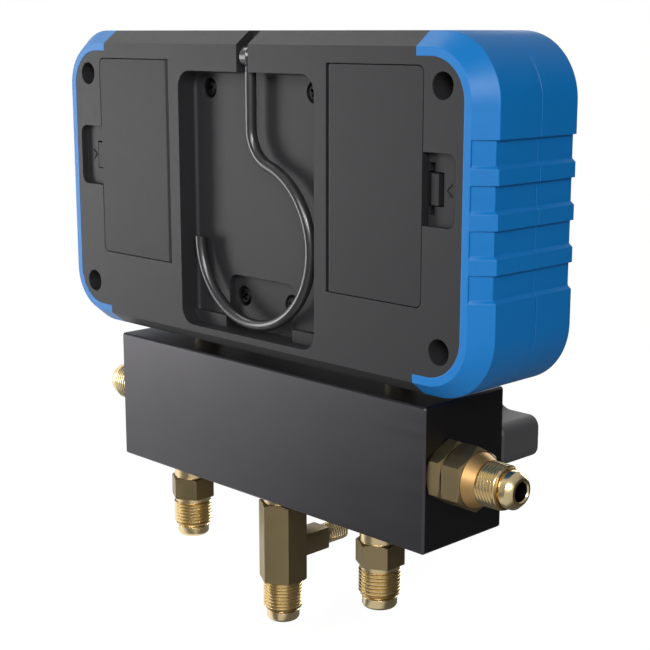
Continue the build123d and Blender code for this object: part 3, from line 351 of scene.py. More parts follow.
@dataclass(frozen=True)
class Turned(Finish):
    """Metal from a lathe, with fine rings round its axis and a few handling marks."""

    tight: tuple[float, float, float] = (1.0, 1.0, 1.0)
    tarnish: Colour = (0.2, 0.14, 0.06)
    edge_mm: float = 0.12
    tarnished: float = 0.45
    bare: float = 1.0
    ring_mm: float = 0.0025

    def paint(self, shader: Shader) -> None:
        """Tool rings, cloudy tarnish and bright edges.

        Args:
            shader: The nodes to lay out.
        """
        rings = shader.noise(0.9, 3.0, self.tight)
        cloud = shader.noise(4.5, 4.0)
        rounded, bright = shader.soft_edges(self.edge_mm)
        stain = cloud.ramp(0.35, 0.75) * self.tarnished * (1.0 - bright)
        shader.set(
            Base_Color=shader.mix(stain, self.colour, self.tarnish),
            Metallic=self.bare,
            Roughness=rings * 0.1 + stain * 0.25 + (self.roughness - 0.05),
        )
        shader.bump(rings, self.ring_mm, rounded)


@dataclass(frozen=True)
class Anodised(Finish):
    """A bead-blasted and dark anodised metal bar with faint saw marks."""

    edge_mm: float = 0.3
    bare: Colour = (0.2, 0.2, 0.21)
    relief_mm: float = 0.012

    def paint(self, shader: Shader) -> None:
        """Fine blast grain, faint lines along the bar and bare edges.

        Args:
            shader: The nodes to lay out.
        """
        blast = shader.noise(0.35)
        lines = shader.noise(2.4, 3.0, (0.03, 1.0, 1.0))
        cloud = shader.noise(30.0, 3.0)
        rounded, worn = shader.soft_edges(self.edge_mm)
        body = shader.mix(cloud, self.shade(0.85), self.colour)
        shader.set(
            Base_Color=shader.mix(worn * 0.3, body, self.bare),
            Metallic=1.0,
            Roughness=lines * 0.12 + blast * 0.06 + (self.roughness - 0.09),
        )
        shader.bump(blast * 0.7 + lines * 0.3, self.relief_mm, rounded)


@dataclass(frozen=True)
class Lacquered(Finish):
    """Dark bent wire under a clear coat, with a few rubbed spots."""

    rubbed: Colour = (0.09, 0.09, 0.095)
    peel_mm: float = 0.01

    def paint(self, shader: Shader) -> None:
        """Even dark coat with faint orange peel.

        Args:
            shader: The nodes to lay out.
        """
        peel = shader.noise(1.4)
        rub = shader.noise(9.0, 4.0).ramp(0.62, 0.8)
        shader.set(
            Base_Color=shader.mix(rub * 0.4, self.colour, self.rubbed),
            Metallic=0.35,
            Roughness=peel * 0.08 + rub * 0.12 + (self.roughness - 0.04),
            Coat_Weight=0.5,
            Coat_Roughness=0.12,
        )
        shader.bump(peel, self.peel_mm)


@dataclass(frozen=True)
class Clear(Finish):
    """A clear pane with faint wipe marks."""

    def paint(self, shader: Shader) -> None:
        """Clear body, smeared here and there.

        Args:
            shader: The nodes to lay out.
        """
        wipes = shader.noise(6.0, 5.0, (1.0, 1.0, 0.25)).ramp(0.5, 0.85)
        shader.set(
            Base_Color=self.colour,
            Roughness=wipes * 0.06 + self.roughness,
            Transmission_Weight=0.92,
            IOR=1.49,
        )


@dataclass(frozen=True)
class DarkPanel(Finish):
    """A switched-off display: grey-green glass with a faint dot grid."""

    dot_mm: float = 0.42

    def paint(self, shader: Shader) -> None:
        """Grid of dots under a satin polariser.

        Args:
            shader: The nodes to lay out.
        """
        across, _, up = shader.cells(self.dot_mm)
        grid = across.stripes(0.4, 0.48) + up.stripes(0.4, 0.48)
        body = shader.mix(shader.noise(60.0), self.colour, self.shade(1.25))
        shader.set(
            Base_Color=shader.mix(grid * 0.12, body, self.shade(0.6)),
            Roughness=self.roughness,
            Coat_Weight=0.4,
        )


@dataclass(frozen=True)
class Laminate(Finish):
    """A lacquered circuit board with tracks under its mask."""

    track_mm: float = 1.27
    track_height_mm: float = 0.03

    def paint(self, shader: Shader) -> None:
        """Broken runs of tracks on green lacquer.

        Args:
            shader: The nodes to lay out.
        """
        across, _, up = shader.cells(self.track_mm)
        regions = shader.noise(16.0, 1.0) > 0.5
        rows = up.stripes(0.24, 0.3) * regions
        columns = across.stripes(0.24, 0.3) * (1.0 - regions)
        tracks = (rows + columns) * (shader.noise(7.0, 1.0) > 0.48)
        shader.set(
            Base_Color=shader.mix(tracks * 0.7, self.colour, self.shade(2.1)),
            Roughness=self.roughness,
            Coat_Weight=0.5,
        )
        shader.bump(tracks, self.track_height_mm)


@dataclass(frozen=True)
class CellSleeve(Finish):
    """A plain sleeved battery cell: sleeve with one pale band, bare metal at both ends."""

    low_mm: float = 0.0
    high_mm: float = 0.0
    bare_ends_mm: tuple[float, float] = (0.8, 2.2)
    band_mm: tuple[float, float] = (12.0, 16.5)
    band: Colour = (0.55, 0.55, 0.53)
    bare: Colour = (0.62, 0.62, 0.6)

    def paint(self, shader: Shader) -> None:
        """Bands along Z.

        Args:
            shader: The nodes to lay out.
        """
        up = shader.cells(1.0)[2]
        foot, head = self.bare_ends_mm
        inside = (up > self.low_mm + foot) * (1.0 - (up > self.high_mm - head))
        middle = (self.low_mm + self.high_mm) / 2
        band = (up > middle + self.band_mm[0]) * (1.0 - (up > middle + self.band_mm[1]))
        sleeve = shader.mix(band, self.colour, self.band)
        scuffs = shader.noise(2.5, 4.0)
        shader.set(
            Base_Color=shader.mix(inside, self.bare, sleeve),
            Metallic=1.0 - inside,
            Roughness=scuffs * 0.15 + self.roughness,
        )


BLACK_HOUSING = Moulded("black_housing", (0.024, 0.024, 0.026), 0.5, shine=0.3)
BLACK_DOOR = Moulded("black_door", (0.021, 0.021, 0.023), 0.52, shine=0.3)
BLUE_GUARD = Moulded(
    "blue_guard", (0.0, 0.165, 0.49), 0.42, grain_depth_mm=0.01, edge_mm=0.3, rubbed=0.4, shine=0.4
)
KNOB_PLASTIC = Moulded("knob_plastic", (0.075, 0.075, 0.078), 0.5, edge_mm=0.7, rubbed=0.1)
CAP_BLUE = Moulded("cap_blue", (0.003, 0.10, 0.40), 0.35, coat=0.2)
CAP_RED = Moulded("cap_red", (0.42, 0.02, 0.02), 0.35, coat=0.2)
KEY_RUBBER = Moulded("key_rubber", (0.15, 0.155, 0.16), 0.62, edge_mm=0.35)
SEAL_RUBBER = Moulded("seal_rubber", (0.02, 0.02, 0.021), 0.6, grain_depth_mm=0.008)
FRAME_PLASTIC = Moulded("frame_plastic", (0.62, 0.62, 0.61), 0.5)
BLOCK_METAL = Anodised("block_metal", (0.088, 0.085, 0.091), 0.4)
HOOK_WIRE = Lacquered("hook_wire", (0.03, 0.03, 0.032), 0.34)
BRASS_X, BRASS_Y, BRASS_Z = (
    Turned(f"brass_along_{axis}", (0.92, 0.74, 0.42), 0.24, tight=tight, edge_mm=0.05, tarnished=0.12)
    for axis, tight in (("x", (4.0, 0.02, 0.02)), ("y", (0.02, 4.0, 0.02)), ("z", (0.02, 0.02, 4.0)))
)
BRASS_BAR = Turned(
    "brass_bar", (0.32, 0.25, 0.135), 0.38, tarnish=(0.3, 0.22, 0.1), edge_mm=0.08, tarnished=0.3
)
BRASS_SATIN = Turned("brass_satin", (0.50, 0.31, 0.125), 0.5, edge_mm=0.05, tarnished=0.1)
BRASS_THREAD = Turned(
    "brass_thread", (0.95, 0.78, 0.46), 0.22, edge_mm=0.01, tarnished=0.05, ring_mm=0.0
)
# Darker brass for the thread's root faces: painted shade in the grooves between the lit crests.
THREAD_ROOT_PAINTED_SHADE = Turned(
    "thread_root_painted_shade", (0.34, 0.21, 0.07), 0.4, tarnish=(0.1, 0.07, 0.03), edge_mm=0.01, ring_mm=0.0
)
# Near-black brass for the fittings' bores: painted shade inside the holes.
BORE_PAINTED_SHADE = Turned("bore_painted_shade", (0.02, 0.017, 0.012), 0.6, tarnish=grey(0.01))
# Olive plating for the sensor posts, made paler than the plating alone: painted light for the shaded gap
# between housing and block.
POST_PLATING_AND_PAINTED_LIGHT = Turned(
    "post_steel", (0.80, 0.72, 0.50), 0.4, tight=(0.02, 0.02, 4.0), tarnish=(0.45, 0.4, 0.27), bare=0.5
)
BLACK_STEEL = Turned("black_steel", (0.016, 0.016, 0.017), 0.42, tarnish=grey(0.012))
PLATED_STEEL = Turned("plated_steel", (0.52, 0.52, 0.53), 0.3, tarnish=grey(0.2))
SENSOR_STEEL = Turned(
    "sensor_steel", (0.55, 0.54, 0.52), 0.32, tight=(0.3, 0.3, 4.0), tarnish=(0.2, 0.2, 0.19)
)
CONTACT_STEEL = Turned(
    "contact_steel", (0.72, 0.71, 0.68), 0.25, tight=(1.0, 3.0, 1.0), tarnish=(0.4, 0.38, 0.33)
)
WINDOW_CLEAR = Clear("window_clear", (0.96, 0.98, 0.98), 0.03)
SIGHT_CLEAR = Clear("sight_clear", (0.93, 0.97, 0.95), 0.02)
DISPLAY_DARK = DarkPanel("display_dark", (0.085, 0.1, 0.085), 0.32)
BOARD_GREEN = Laminate("board_green", (0.012, 0.12, 0.045), 0.35)


class Axis(Enum):
    """The way a turned fitting points, as the turn from +Z to it."""

    LEFT = (0.0, -pi / 2, 0.0)
    RIGHT = (0.0, pi / 2, 0.0)
    DOWN = (pi, 0.0, 0.0)
    FRONT = (pi / 2, 0.0, 0.0)


class Bench:
    """Mesh work as by hand: everything deselected first, then operators on what is chosen."""

    @staticmethod
    def clear() -> None:
        """Leaves edit mode and deselects all objects."""
        if bpy.context.mode != "OBJECT":
            Bench.leave()
        bpy.ops.object.select_all(action="DESELECT")

    @staticmethod
    def leave() -> None:
        """Leaves edit mode."""
        bpy.ops.object.mode_set(mode="OBJECT")

    @staticmethod
    def pick(*pieces: Piece) -> None:
        """Selects only some pieces, the first one active.

        Args:
            pieces: The pieces.
        """
        Bench.clear()
        for piece in pieces:
            piece.select_set(True)
        bpy.context.view_layer.objects.active = pieces[0]

    @staticmethod
    def edit(piece: Piece, mode: str = "VERT", all_selected: bool = True) -> None:
        """Opens a piece in edit mode.

        Args:
            piece: The piece to edit.
            mode: VERT, EDGE or FACE.
            all_selected: Whether all of it is selected.
        """
        Bench.pick(piece)
        bpy.ops.object.mode_set(mode="EDIT")
        bpy.ops.mesh.select_mode(type=mode)
        bpy.ops.mesh.select_all(action="SELECT" if all_selected else "DESELECT")

    @staticmethod
    def choose_faces(piece: Piece, test: Callable[[Vector, Vector], bool]) -> None:
        """Selects faces by their centre and normal and returns to edit mode.

        Args:
            piece: The piece in edit mode.
            test: Says whether a face with this centre and normal is chosen.
        """
        bpy.ops.mesh.select_mode(type="FACE")
        bpy.ops.mesh.select_all(action="DESELECT")
        Bench.leave()
        for face in piece.data.polygons:
            face.select = test(face.center, face.normal)
        bpy.ops.object.mode_set(mode="EDIT")

    @staticmethod
    def drum(name: str, radius_mm: float, length_mm: float, sides: int = 48) -> Piece:
        """Makes a drum that stands on the origin along +Z.

        Args:
            name: The piece's name.
            radius_mm: Its radius.
            length_mm: Its length.
            sides: Its number of sides.

        Returns:
            The drum.
        """
        Bench.clear()
        bpy.ops.mesh.primitive_cylinder_add(
            vertices=sides, radius=radius_mm * MM, depth=length_mm * MM, location=(0, 0, length_mm * MM / 2)
        )
        piece = bpy.context.active_object
        piece.name = name
        Bench.settle(piece)
        return piece

    @staticmethod
    def brick(name: str, size_mm: Sequence[float], centre_mm: Sequence[float]) -> Piece:
        """Makes a box of a size at a place.

        Args:
            name: The piece's name.
            size_mm: Its three sides.
            centre_mm: Its middle.

        Returns:
            The box.
        """
        Bench.clear()
        middle, scale = Vector(centre_mm) * MM, Vector(size_mm) * MM
        bpy.ops.mesh.primitive_cube_add(size=1.0, location=middle, scale=scale)
        piece = bpy.context.active_object
        piece.name = name
        Bench.settle(piece)
        return piece

    @staticmethod
    def chain(name: str, points_mm: Sequence[tuple[float, float]]) -> Piece:
        """Makes a chain of edges in the XZ plane, from one vertex that is extruded point by point.

        Args:
            name: The piece's name.
            points_mm: Radius and height of each point.

        Returns:
            The chain.
        """
        Bench.clear()
        bpy.ops.mesh.primitive_plane_add(size=0.001)
        piece = bpy.context.active_object
        piece.name = name
        Bench.edit(piece)
        bpy.ops.mesh.merge(type="CENTER")
        before = Vector((0.0, 0.0, 0.0))
        for index, (radius, height) in enumerate(points_mm):
            point = Vector((radius * MM, 0.0, height * MM))
            step = point - before
            if index == 0:
                bpy.ops.transform.translate(value=step)
            else:
                bpy.ops.mesh.extrude_vertices_move(TRANSFORM_OT_translate={"value": step})
            before = point
        Bench.leave()
        return piece

    @staticmethod
    def lathe(name: str, points_mm: Sequence[tuple[float, float]], sides: int = 64) -> Piece:
        """Spins a closed outline into a closed turned form.

        Args:
            name: The piece's name.
            points_mm: Radius and height round the outline.
            sides: Its number of sides.

        Returns:
            The turned form.
        """
        piece = Bench.chain(name, [*points_mm, points_mm[0]])
        Bench.edit(piece)
        bpy.ops.mesh.spin(steps=sides, angle=tau, center=(0, 0, 0), axis=(0, 0, 1))
        Bench.tidy()
        Bench.leave()
        return piece

    @staticmethod
    def tidy() -> None:
        """Merges doubles and turns the faces outwards, in edit mode."""
        bpy.ops.mesh.select_all(action="SELECT")
        bpy.ops.mesh.remove_doubles(threshold=1e-6)
        bpy.ops.mesh.normals_make_consistent(inside=False)

    @staticmethod
    def settle(piece: Piece) -> None:
        """Moves a piece's place, turn and scale into its mesh."""
        Bench.pick(piece)
        bpy.ops.object.transform_apply(location=True, rotation=True, scale=True)

    @staticmethod
    def apply(piece: Piece) -> None:
        """Applies all of a piece's modifiers.

        Args:
            piece: The piece.
        """
        Bench.pick(piece)
        for modifier in list(piece.modifiers):
            bpy.ops.object.modifier_apply(modifier=modifier.name)

    @staticmethod
    def bevel(piece: Piece, width_mm: float, segments: int = 2, angle: float = 35.0) -> None:
        """Rounds a piece's sharp edges.

        Args:
            piece: The piece.
            width_mm: The width of the rounding.
            segments: How many steps it has.
            angle: Edges sharper than this are rounded, in degrees.
        """
        rounding = piece.modifiers.new("edges", "BEVEL")
        rounding.width = width_mm * MM
        rounding.segments = segments
        rounding.limit_method = "ANGLE"
        rounding.angle_limit = radians(angle)
        Bench.apply(piece)

    @staticmethod
    def cut(piece: Piece, tool: Piece, way: str = "DIFFERENCE") -> None:
        """Cuts a piece with a tool piece, which is used up.

        Args:
            piece: The piece that is cut.
            tool: The piece that cuts.
            way: DIFFERENCE or INTERSECT.
        """
        cutting = piece.modifiers.new("cut", "BOOLEAN")
        cutting.operation = way
        cutting.solver = "EXACT"
        cutting.object = tool
        Bench.apply(piece)
        bpy.data.objects.remove(tool)

    @staticmethod
    def join(name: str, *pieces: Piece) -> Piece:
        """Makes several pieces one.

        Args:
            name: The joined piece's name.
            pieces: The pieces.

        Returns:
            The joined piece.
        """
        Bench.pick(*pieces)
        if len(pieces) > 1:
            bpy.ops.object.join()
        joined = bpy.context.active_object
        joined.name = name
        joined.data.name = name
        return joined

    @staticmethod
    def copy(piece: Piece, name: str, place: Matrix) -> Piece:
        """Copies a piece with its mesh and puts the copy in place.

        Args:
            piece: The piece to copy.
            name: The copy's name.
            place: Where the copy goes.

        Returns:
            The copy.
        """
        twin = piece.copy()
        twin.data = piece.data.copy()
        twin.name = name
        twin.data.name = name
        twin.data.transform(place)
        bpy.context.scene.collection.objects.link(twin)
        return twin

    @staticmethod
    def lift(height_mm: float, *pieces: Piece) -> None:
        """Moves pieces' meshes up."""
        for piece in pieces:
            piece.data.transform(Matrix.Translation((0, 0, height_mm * MM)))

    @staticmethod
    def coat(finish: Finish, piece: Piece) -> None:
        """Gives a piece one finish all over."""
        piece.data.materials.clear()
        piece.data.materials.append(finish.material())

    @staticmethod
    def coat_faces(piece: Piece, finish: Finish, test: Callable[[Vector, Vector], bool]) -> None:
        """Gives some faces another finish.

        Args:
            piece: The piece.
            finish: The finish of those faces.
            test: Says whether a face with this centre and normal is one of them.
        """
        piece.data.materials.append(finish.material())
        Bench.edit(piece)
        Bench.choose_faces(piece, test)
        piece.active_material_index = len(piece.data.materials) - 1
        bpy.ops.object.material_slot_assign()
        Bench.leave()

    @staticmethod
    def finish(piece: Piece, body: str, slot: str, smooth: float = 32.0) -> None:
        """Smooths a coated piece and gives it its body.

        Args:
            piece: The finished piece.
            body: The body that it moves with.
            slot: Not used.
            smooth: Edges sharper than this stay sharp, in degrees.
        """
        Bench.pick(piece)
        bpy.ops.object.shade_smooth_by_angle(angle=radians(smooth))
        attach(piece, body)
        LOG.info("%s: %d faces", piece.name, len(piece.data.polygons))


def placing(turn: Axis, place_mm: Sequence[float], roll: float = 0.0) -> Matrix:
    """Finds the matrix that puts a piece made along +Z at its seat.

    Args:
        turn: The way it points.
        place_mm: Its seat.
        roll: A turn about its own axis first, in radians.

    Returns:
        The matrix.
    """
    seat = Matrix.Translation(Vector(place_mm) * MM)
    way = Matrix.Rotation(turn.value[1], 4, "Y") @ Matrix.Rotation(turn.value[0], 4, "X")
    return seat @ way @ Matrix.Rotation(roll, 4, "Z")


def dress(nodes: Iterable[str], finish: Finish) -> None:
    """Gives CAD nodes their finish.

    Args:
        nodes: The nodes' names.
        finish: The finish that they all get.
    """
    for name in nodes:
        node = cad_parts[name]
        material = finish.material()
        if not node.data.materials:
            node.data.materials.append(material)
        for index in range(len(node.material_slots)):
            node.material_slots[index].material = material
        LOG.info("%s: %s", name, finish.name)


@dataclass(frozen=True)
class Thread:
    """A helical external thread on a sleeve, made along +Z."""

    outer_mm: float
    pitch_mm: float
    length_mm: float
    inner_mm: float
    lead_mm: float = 0.6
    sides: int = 56
    crest: float = 0.16
    form: float = 0.56
    root_share: float = 0.62

    @property
    def depth_mm(self) -> float:
        """How deep the thread's flanks go, a little shallower than full form."""
        return self.form * self.pitch_mm

    def outline(self) -> list[tuple[float, float]]:
        """Lists the flanks' points from two pitches below the start to past the end.

        Returns:
            Radius and height of each point.
        """
        root, outer, pitch = self.outer_mm - self.depth_mm, self.outer_mm, self.pitch_mm
        points = []
        for turn in range(-2, int(self.length_mm / pitch) + 3):
            base = turn * pitch
            points += [(root, base), (root, base + self.crest * pitch)]
            points += [(outer, base + 0.5 * pitch), (outer, base + (0.5 + self.crest) * pitch)]
        return points

    def build(self, name: str) -> Piece:
        """Winds the outline up by one pitch a turn, trims both ends and closes the sleeve.

        Args:
            name: The piece's name.

        Returns:
            The thread.
        """
        piece = Bench.chain(name, self.outline())
        winding = piece.modifiers.new("winding", "SCREW")
        winding.axis = "Z"
        winding.angle = tau
        winding.screw_offset = self.pitch_mm * MM
        winding.steps = winding.render_steps = self.sides
        Bench.apply(piece)
        Bench.edit(piece)
        bpy.ops.mesh.remove_doubles(threshold=2e-6)
        for height, upwards in ((0.0, False), (self.length_mm, True)):
            bpy.ops.mesh.select_all(action="SELECT")
            bpy.ops.mesh.bisect(
                plane_co=(0, 0, height * MM),
                plane_no=(0, 0, 1),
                clear_inner=not upwards,
                clear_outer=upwards,
                use_fill=False,
            )
        Bench.leave()
        self.chamfer_lead(piece)
        self.close(piece)
        Bench.coat(BRASS_THREAD, piece)
        # The root faces get the darker brass: painted shade in the thread's grooves.
        root = (self.outer_mm - self.root_share * self.depth_mm) * MM
        Bench.coat_faces(piece, THREAD_ROOT_PAINTED_SHADE, lambda centre, _: Vector(centre.xy).length < root)
        return piece

    def chamfer_lead(self, piece: Piece) -> None:
        """Draws the last turns in under the lead chamfer, which no operator can do on a helix.

        Args:
            piece: The thread.
        """
        for vertex in piece.data.vertices:
            limit = self.outer_mm * MM - max(0.0, vertex.co.z - (self.length_mm - self.lead_mm) * MM)
            radius = Vector(vertex.co.xy).length
            if radius > limit:
                vertex.co.x *= limit / radius
                vertex.co.y *= limit / radius

    def close(self, piece: Piece) -> None:
        """Draws both rims in to the sleeve's inner wall and bridges them.

        Args:
            piece: The thread.
        """
        Bench.edit(piece, "EDGE", all_selected=False)
        bpy.ops.mesh.select_non_manifold()
        bpy.ops.mesh.extrude_edges_move()
        share = self.inner_mm / self.outer_mm
        bpy.ops.transform.resize(value=(share, share, 1.0), center_override=(0, 0, self.length_mm * MM / 2))
        bpy.ops.mesh.bridge_edge_loops()
        Bench.tidy()
        Bench.leave()


@dataclass(frozen=True)
class HexBar:
    """A hexagon with turned chamfers at its ends and a hole, made along +Z, one corner towards +X."""

    flats_mm: float
    length_mm: float
    edge_mm: float
    far_edge_mm: float
    hole_mm: float = BORE_R
    slant: float = 1.6
    spare_mm: float = 0.02

    @property
    def corner_mm(self) -> float:
        """The radius at the corners."""
        return self.flats_mm / 2 / cos(radians(30))

    def build(self, name: str) -> Piece:
        """Cuts a six-sided drum with a turned envelope and drills it.

        Args:
            name: The piece's name.

        Returns:
            The hexagon.
        """
        piece = Bench.drum(name, self.corner_mm, self.length_mm, 6)
        Bench.edit(piece)
        bpy.ops.transform.rotate(value=radians(-30), orient_axis="Z", center_override=(0, 0, 0))
        Bench.leave()
        wide, top = self.corner_mm + self.spare_mm, self.length_mm
        outline = [(self.hole_mm, 0), (wide - self.slant * self.edge_mm, 0), (wide, self.edge_mm)]
        outline += [(wide, top - self.far_edge_mm), (wide - self.slant * self.far_edge_mm, top)]
        envelope = Bench.lathe("envelope", [*outline, (self.hole_mm, top)], 96)
        Bench.cut(piece, envelope, "INTERSECT")
        Bench.coat(BRASS_BAR, piece)
        return piece


@dataclass(frozen=True)
class FlareTip:
    """What follows a flare fitting's hexagon: turned body, thread and coned nose with its bore."""

    thread_mm: float
    nose_r_mm: float
    end_mm: float
    tip_r_mm: float
    collar_r_mm: float = 0.0
    collar_mm: float = 0.0
    run_out_mm: float = 0.0
    outer_mm: float = THREAD_R
    bore_mm: float = BORE_R
    pitch_mm: float = 0.95
    relief_mm: float = 0.45
    relief_step_mm: float = 0.5
    soft_mm: float = 0.22
    play_mm: float = 0.05
    sunk_mm: float = 0.4
    foot_step_mm: float = 0.35

    def collar(self, name: str) -> Piece:
        """Turns the satin cone between the hexagon and the thread.

        Args:
            name: The start of the piece's name.

        Returns:
            The cone.
        """
        outline = [(self.bore_mm, 0.0), (self.collar_r_mm, 0.0), (self.outer_mm, self.collar_mm)]
        collar = Bench.lathe(f"{name}_collar", [*outline, (self.bore_mm, self.collar_mm)])
        Bench.coat(BRASS_SATIN, collar)
        return collar

    def build(self, name: str, brass: Finish) -> list[Piece]:
        """Turns the core and winds the thread on it.

        Args:
            name: The pieces' name.
            brass: Their finish.

        Returns:
            The core, the thread and any collar, from the origin along +Z.
        """
        core = self.outer_mm - Thread.form * self.pitch_mm - self.play_mm
        foot = self.outer_mm - self.foot_step_mm if self.run_out_mm else core
        start = self.collar_mm + self.run_out_mm
        thread_end = start + self.thread_mm
        nose, tip, soft = self.nose_r_mm, self.tip_r_mm, self.soft_mm
        neck = nose - self.relief_step_mm
        shoulder = self.end_mm - (nose - tip)
        outline = [
            (self.bore_mm, self.collar_mm),
            (foot, self.collar_mm),
            (foot, start),
            (core, start + 0.01),
            (core, thread_end - 0.1),
            (neck, thread_end + 0.05),
            (neck, thread_end + self.relief_mm),
            (nose - soft, thread_end + self.relief_mm),
            (nose, thread_end + self.relief_mm + soft),
            (nose, shoulder - soft),
            (nose - 0.3 * soft, shoulder),
            (tip + soft, self.end_mm - 0.7 * soft),
            (tip - 0.3 * soft, self.end_mm),
            (self.bore_mm + 0.25, self.end_mm),
            (self.bore_mm, self.end_mm - 0.3),
        ]
        thread = Thread(self.outer_mm, self.pitch_mm, self.thread_mm, core - self.sunk_mm)
        thread = thread.build(f"{name}_thread")
        Bench.lift(start, thread)
        turned = Bench.lathe(f"{name}_core", outline)
        Bench.coat(brass, turned)
        # The bore's faces are painted near black, as shade inside the hole.
        bore = (self.bore_mm + 0.1) * MM
        Bench.coat_faces(turned, BORE_PAINTED_SHADE, lambda centre, _: Vector(centre.xy).length < bore)
        return [turned, thread, self.collar(name)] if self.collar_mm else [turned, thread]


@dataclass(frozen=True)
class Flare:
    """A whole flare fitting along +Z from the block's face: shank, neck, hexagon and tip."""

    brass: Finish
    foot_mm: float
    tip: FlareTip
    tip_from_mm: float
    bar: HexBar | None = None
    bar_from_mm: float = 0.0
    neck_r_mm: float = 0.0
    neck_mm: float = 0.0
    shank_r_mm: float = 4.8
    shank_mm: float = 8.0
    shank_edge_mm: float = 0.3

    def shank(self) -> Piece:
        """Turns the part in the block, which stands out of it by the foot.

        Returns:
            The shank.
        """
        outer, bottom, edge = self.shank_r_mm, -self.shank_mm, self.shank_edge_mm
        outline = [(BORE_R, bottom), (outer - edge, bottom), (outer, bottom + edge)]
        shank = Bench.lathe("shank", [*outline, (outer, self.foot_mm), (BORE_R, self.foot_mm)], 48)
        Bench.coat(BRASS_BAR, shank)
        return shank

    def build(self) -> Piece:
        """Makes the fitting's pieces and joins them.

        Returns:
            The fitting, with the block's face at the origin.
        """
        pieces = [self.shank()]
        if self.neck_mm:
            outer, top = self.neck_r_mm, self.neck_mm
            neck = Bench.lathe("neck", [(BORE_R, 0.0), (outer, 0.0), (outer, top), (BORE_R, top)])
            Bench.coat(self.brass, neck)
            pieces.append(neck)
        if self.bar:
            pieces.append(self.bar.build("bar"))
            Bench.lift(self.bar_from_mm, pieces[-1])
        tip = self.tip.build("tip", self.brass)
        Bench.lift(self.tip_from_mm, *tip)
        return Bench.join("fitting", *pieces, *tip)


@dataclass
class Fittings:
    """The brass flare fittings on the block, each in place of its plain solid."""

    end: Flare = Flare(
        BRASS_X,
        foot_mm=4.5,
        tip=FlareTip(6.0, nose_r_mm=4.65, end_mm=12.8, tip_r_mm=3.2, collar_r_mm=6.9, collar_mm=3.0),
        tip_from_mm=10.2,
        bar=HexBar(flats_mm=14.3, length_mm=5.7, edge_mm=0.35, far_edge_mm=0.7),
        bar_from_mm=4.5,
    )
    stub: Flare = Flare(
        BRASS_X,
        foot_mm=1.4,
        tip=FlareTip(6.9, nose_r_mm=4.65, end_mm=10.7, tip_r_mm=3.2),
        tip_from_mm=1.4,
    )
    bottom: Flare = Flare(
        BRASS_Z,
        foot_mm=0.2,
        tip=FlareTip(6.9, nose_r_mm=4.55, end_mm=11.7, tip_r_mm=3.95, run_out_mm=1.4),
        tip_from_mm=9.8,
        bar=HexBar(flats_mm=11.3, length_mm=6.3, edge_mm=0.6, far_edge_mm=0.12),
        bar_from_mm=3.5,
        neck_r_mm=5.3,
        neck_mm=3.6,
    )
    stem: Flare = Flare(
        BRASS_Z,
        foot_mm=0.2,
        tip=FlareTip(8.5, nose_r_mm=4.55, end_mm=11.9, tip_r_mm=3.95),
        tip_from_mm=25.1,
        bar=HexBar(flats_mm=12.0, length_mm=22.7, edge_mm=0.7, far_edge_mm=0.3),
        bar_from_mm=2.4,
        neck_r_mm=5.5,
        neck_mm=2.5,
    )
    arm_mm: tuple[float, float, float] = (6.4, 11.2, 6.4)
    arm_from_mm: float = 4.0
    arm_edge_mm: float = 0.5
    branch_drop_mm: float = 16.6
    branch_thread: Thread = Thread(outer_mm=2.95, pitch_mm=0.85, length_mm=8.3, inner_mm=1.6)
    branch_core_mm: tuple[float, float] = (1.4, 2.2)
    branch_span_mm: tuple[float, float] = (-0.2, 8.2)

    def seat(self, node: str, fitting: Piece) -> None:
        """Puts a finished fitting in the place of its solid."""
        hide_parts(node)
        Bench.finish(fitting, "housing", "brass")

    def ports(self, flare: Flare, way: Axis, *nodes: str) -> None:
        """Builds a port once and sets a copy of it where each solid's box is.

        Args:
            flare: Its sizes.
            way: The way it points.
            nodes: The solids that the copies stand for.
        """
        pattern = flare.build()
        for node in nodes:
            low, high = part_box(node)
            middle = (low + high) / 2 / MM
            if way is Axis.LEFT:
                place = placing(way, (high.x / MM - flare.shank_mm, middle.y, middle.z))
            elif way is Axis.RIGHT:
                place = placing(way, (low.x / MM + flare.shank_mm, middle.y, middle.z))
            else:
                place = placing(way, (middle.x, middle.y, high.z / MM - flare.shank_mm), pi / 2)
            self.seat(node, Bench.copy(pattern, f"flare_{node}", place))
        bpy.data.objects.remove(pattern)

    def branch(self, axis_y: float, height: float) -> list[Piece]:
        """Makes the tee's square arm with the small thread at its end.

        Args:
            axis_y: Where the tee's axis is along Y, in millimetres.
            height: How high the branch is, in millimetres.

        Returns:
            The arm, the thread and its core.
        """
        length = self.arm_mm[1]
        arm = Bench.brick("arm", self.arm_mm, (0.0, axis_y - self.arm_from_mm - length / 2, height))
        Bench.bevel(arm, self.arm_edge_mm, 2)
        Bench.coat(BRASS_BAR, arm)
        thread = self.branch_thread.build("branch_thread")
        (inner, outer), (bottom, top) = self.branch_core_mm, self.branch_span_mm
        outline = [(inner, bottom), (outer, bottom), (outer, top), (inner, top)]
        core = Bench.lathe("branch_core", outline, 40)
        Bench.coat(BRASS_Y, core)
        for piece in (thread, core):
            piece.data.transform(placing(Axis.FRONT, (0.0, axis_y - (self.arm_from_mm + length), height)))
        return [arm, thread, core]

    def tee(self, node: str) -> None:
        """Builds the centre tee with its square branch.

        Args:
            node: The solid that it stands for.
        """
        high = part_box(node)[1]
        axis_y = high.y / MM - self.stem.bar.corner_mm
        top = high.z / MM - self.stem.shank_mm
        stem = self.stem.build()
        stem.data.transform(placing(Axis.DOWN, (0.0, axis_y, top), pi / 2))
        branch = self.branch(axis_y, top - self.branch_drop_mm)
        self.seat(node, Bench.join(f"flare_{node}", stem, *branch))

    def build(self) -> None:
        """Builds all five fittings and dresses the lock nuts."""
        self.ports(self.end, Axis.LEFT, "end_port_low")
        self.ports(self.stub, Axis.RIGHT, "end_port_high")
        self.ports(self.bottom, Axis.DOWN, "bottom_port_low", "bottom_port_high")
        self.tee("center_tee")
        dress(["end_nut_low", "end_nut_high"], BRASS_BAR)


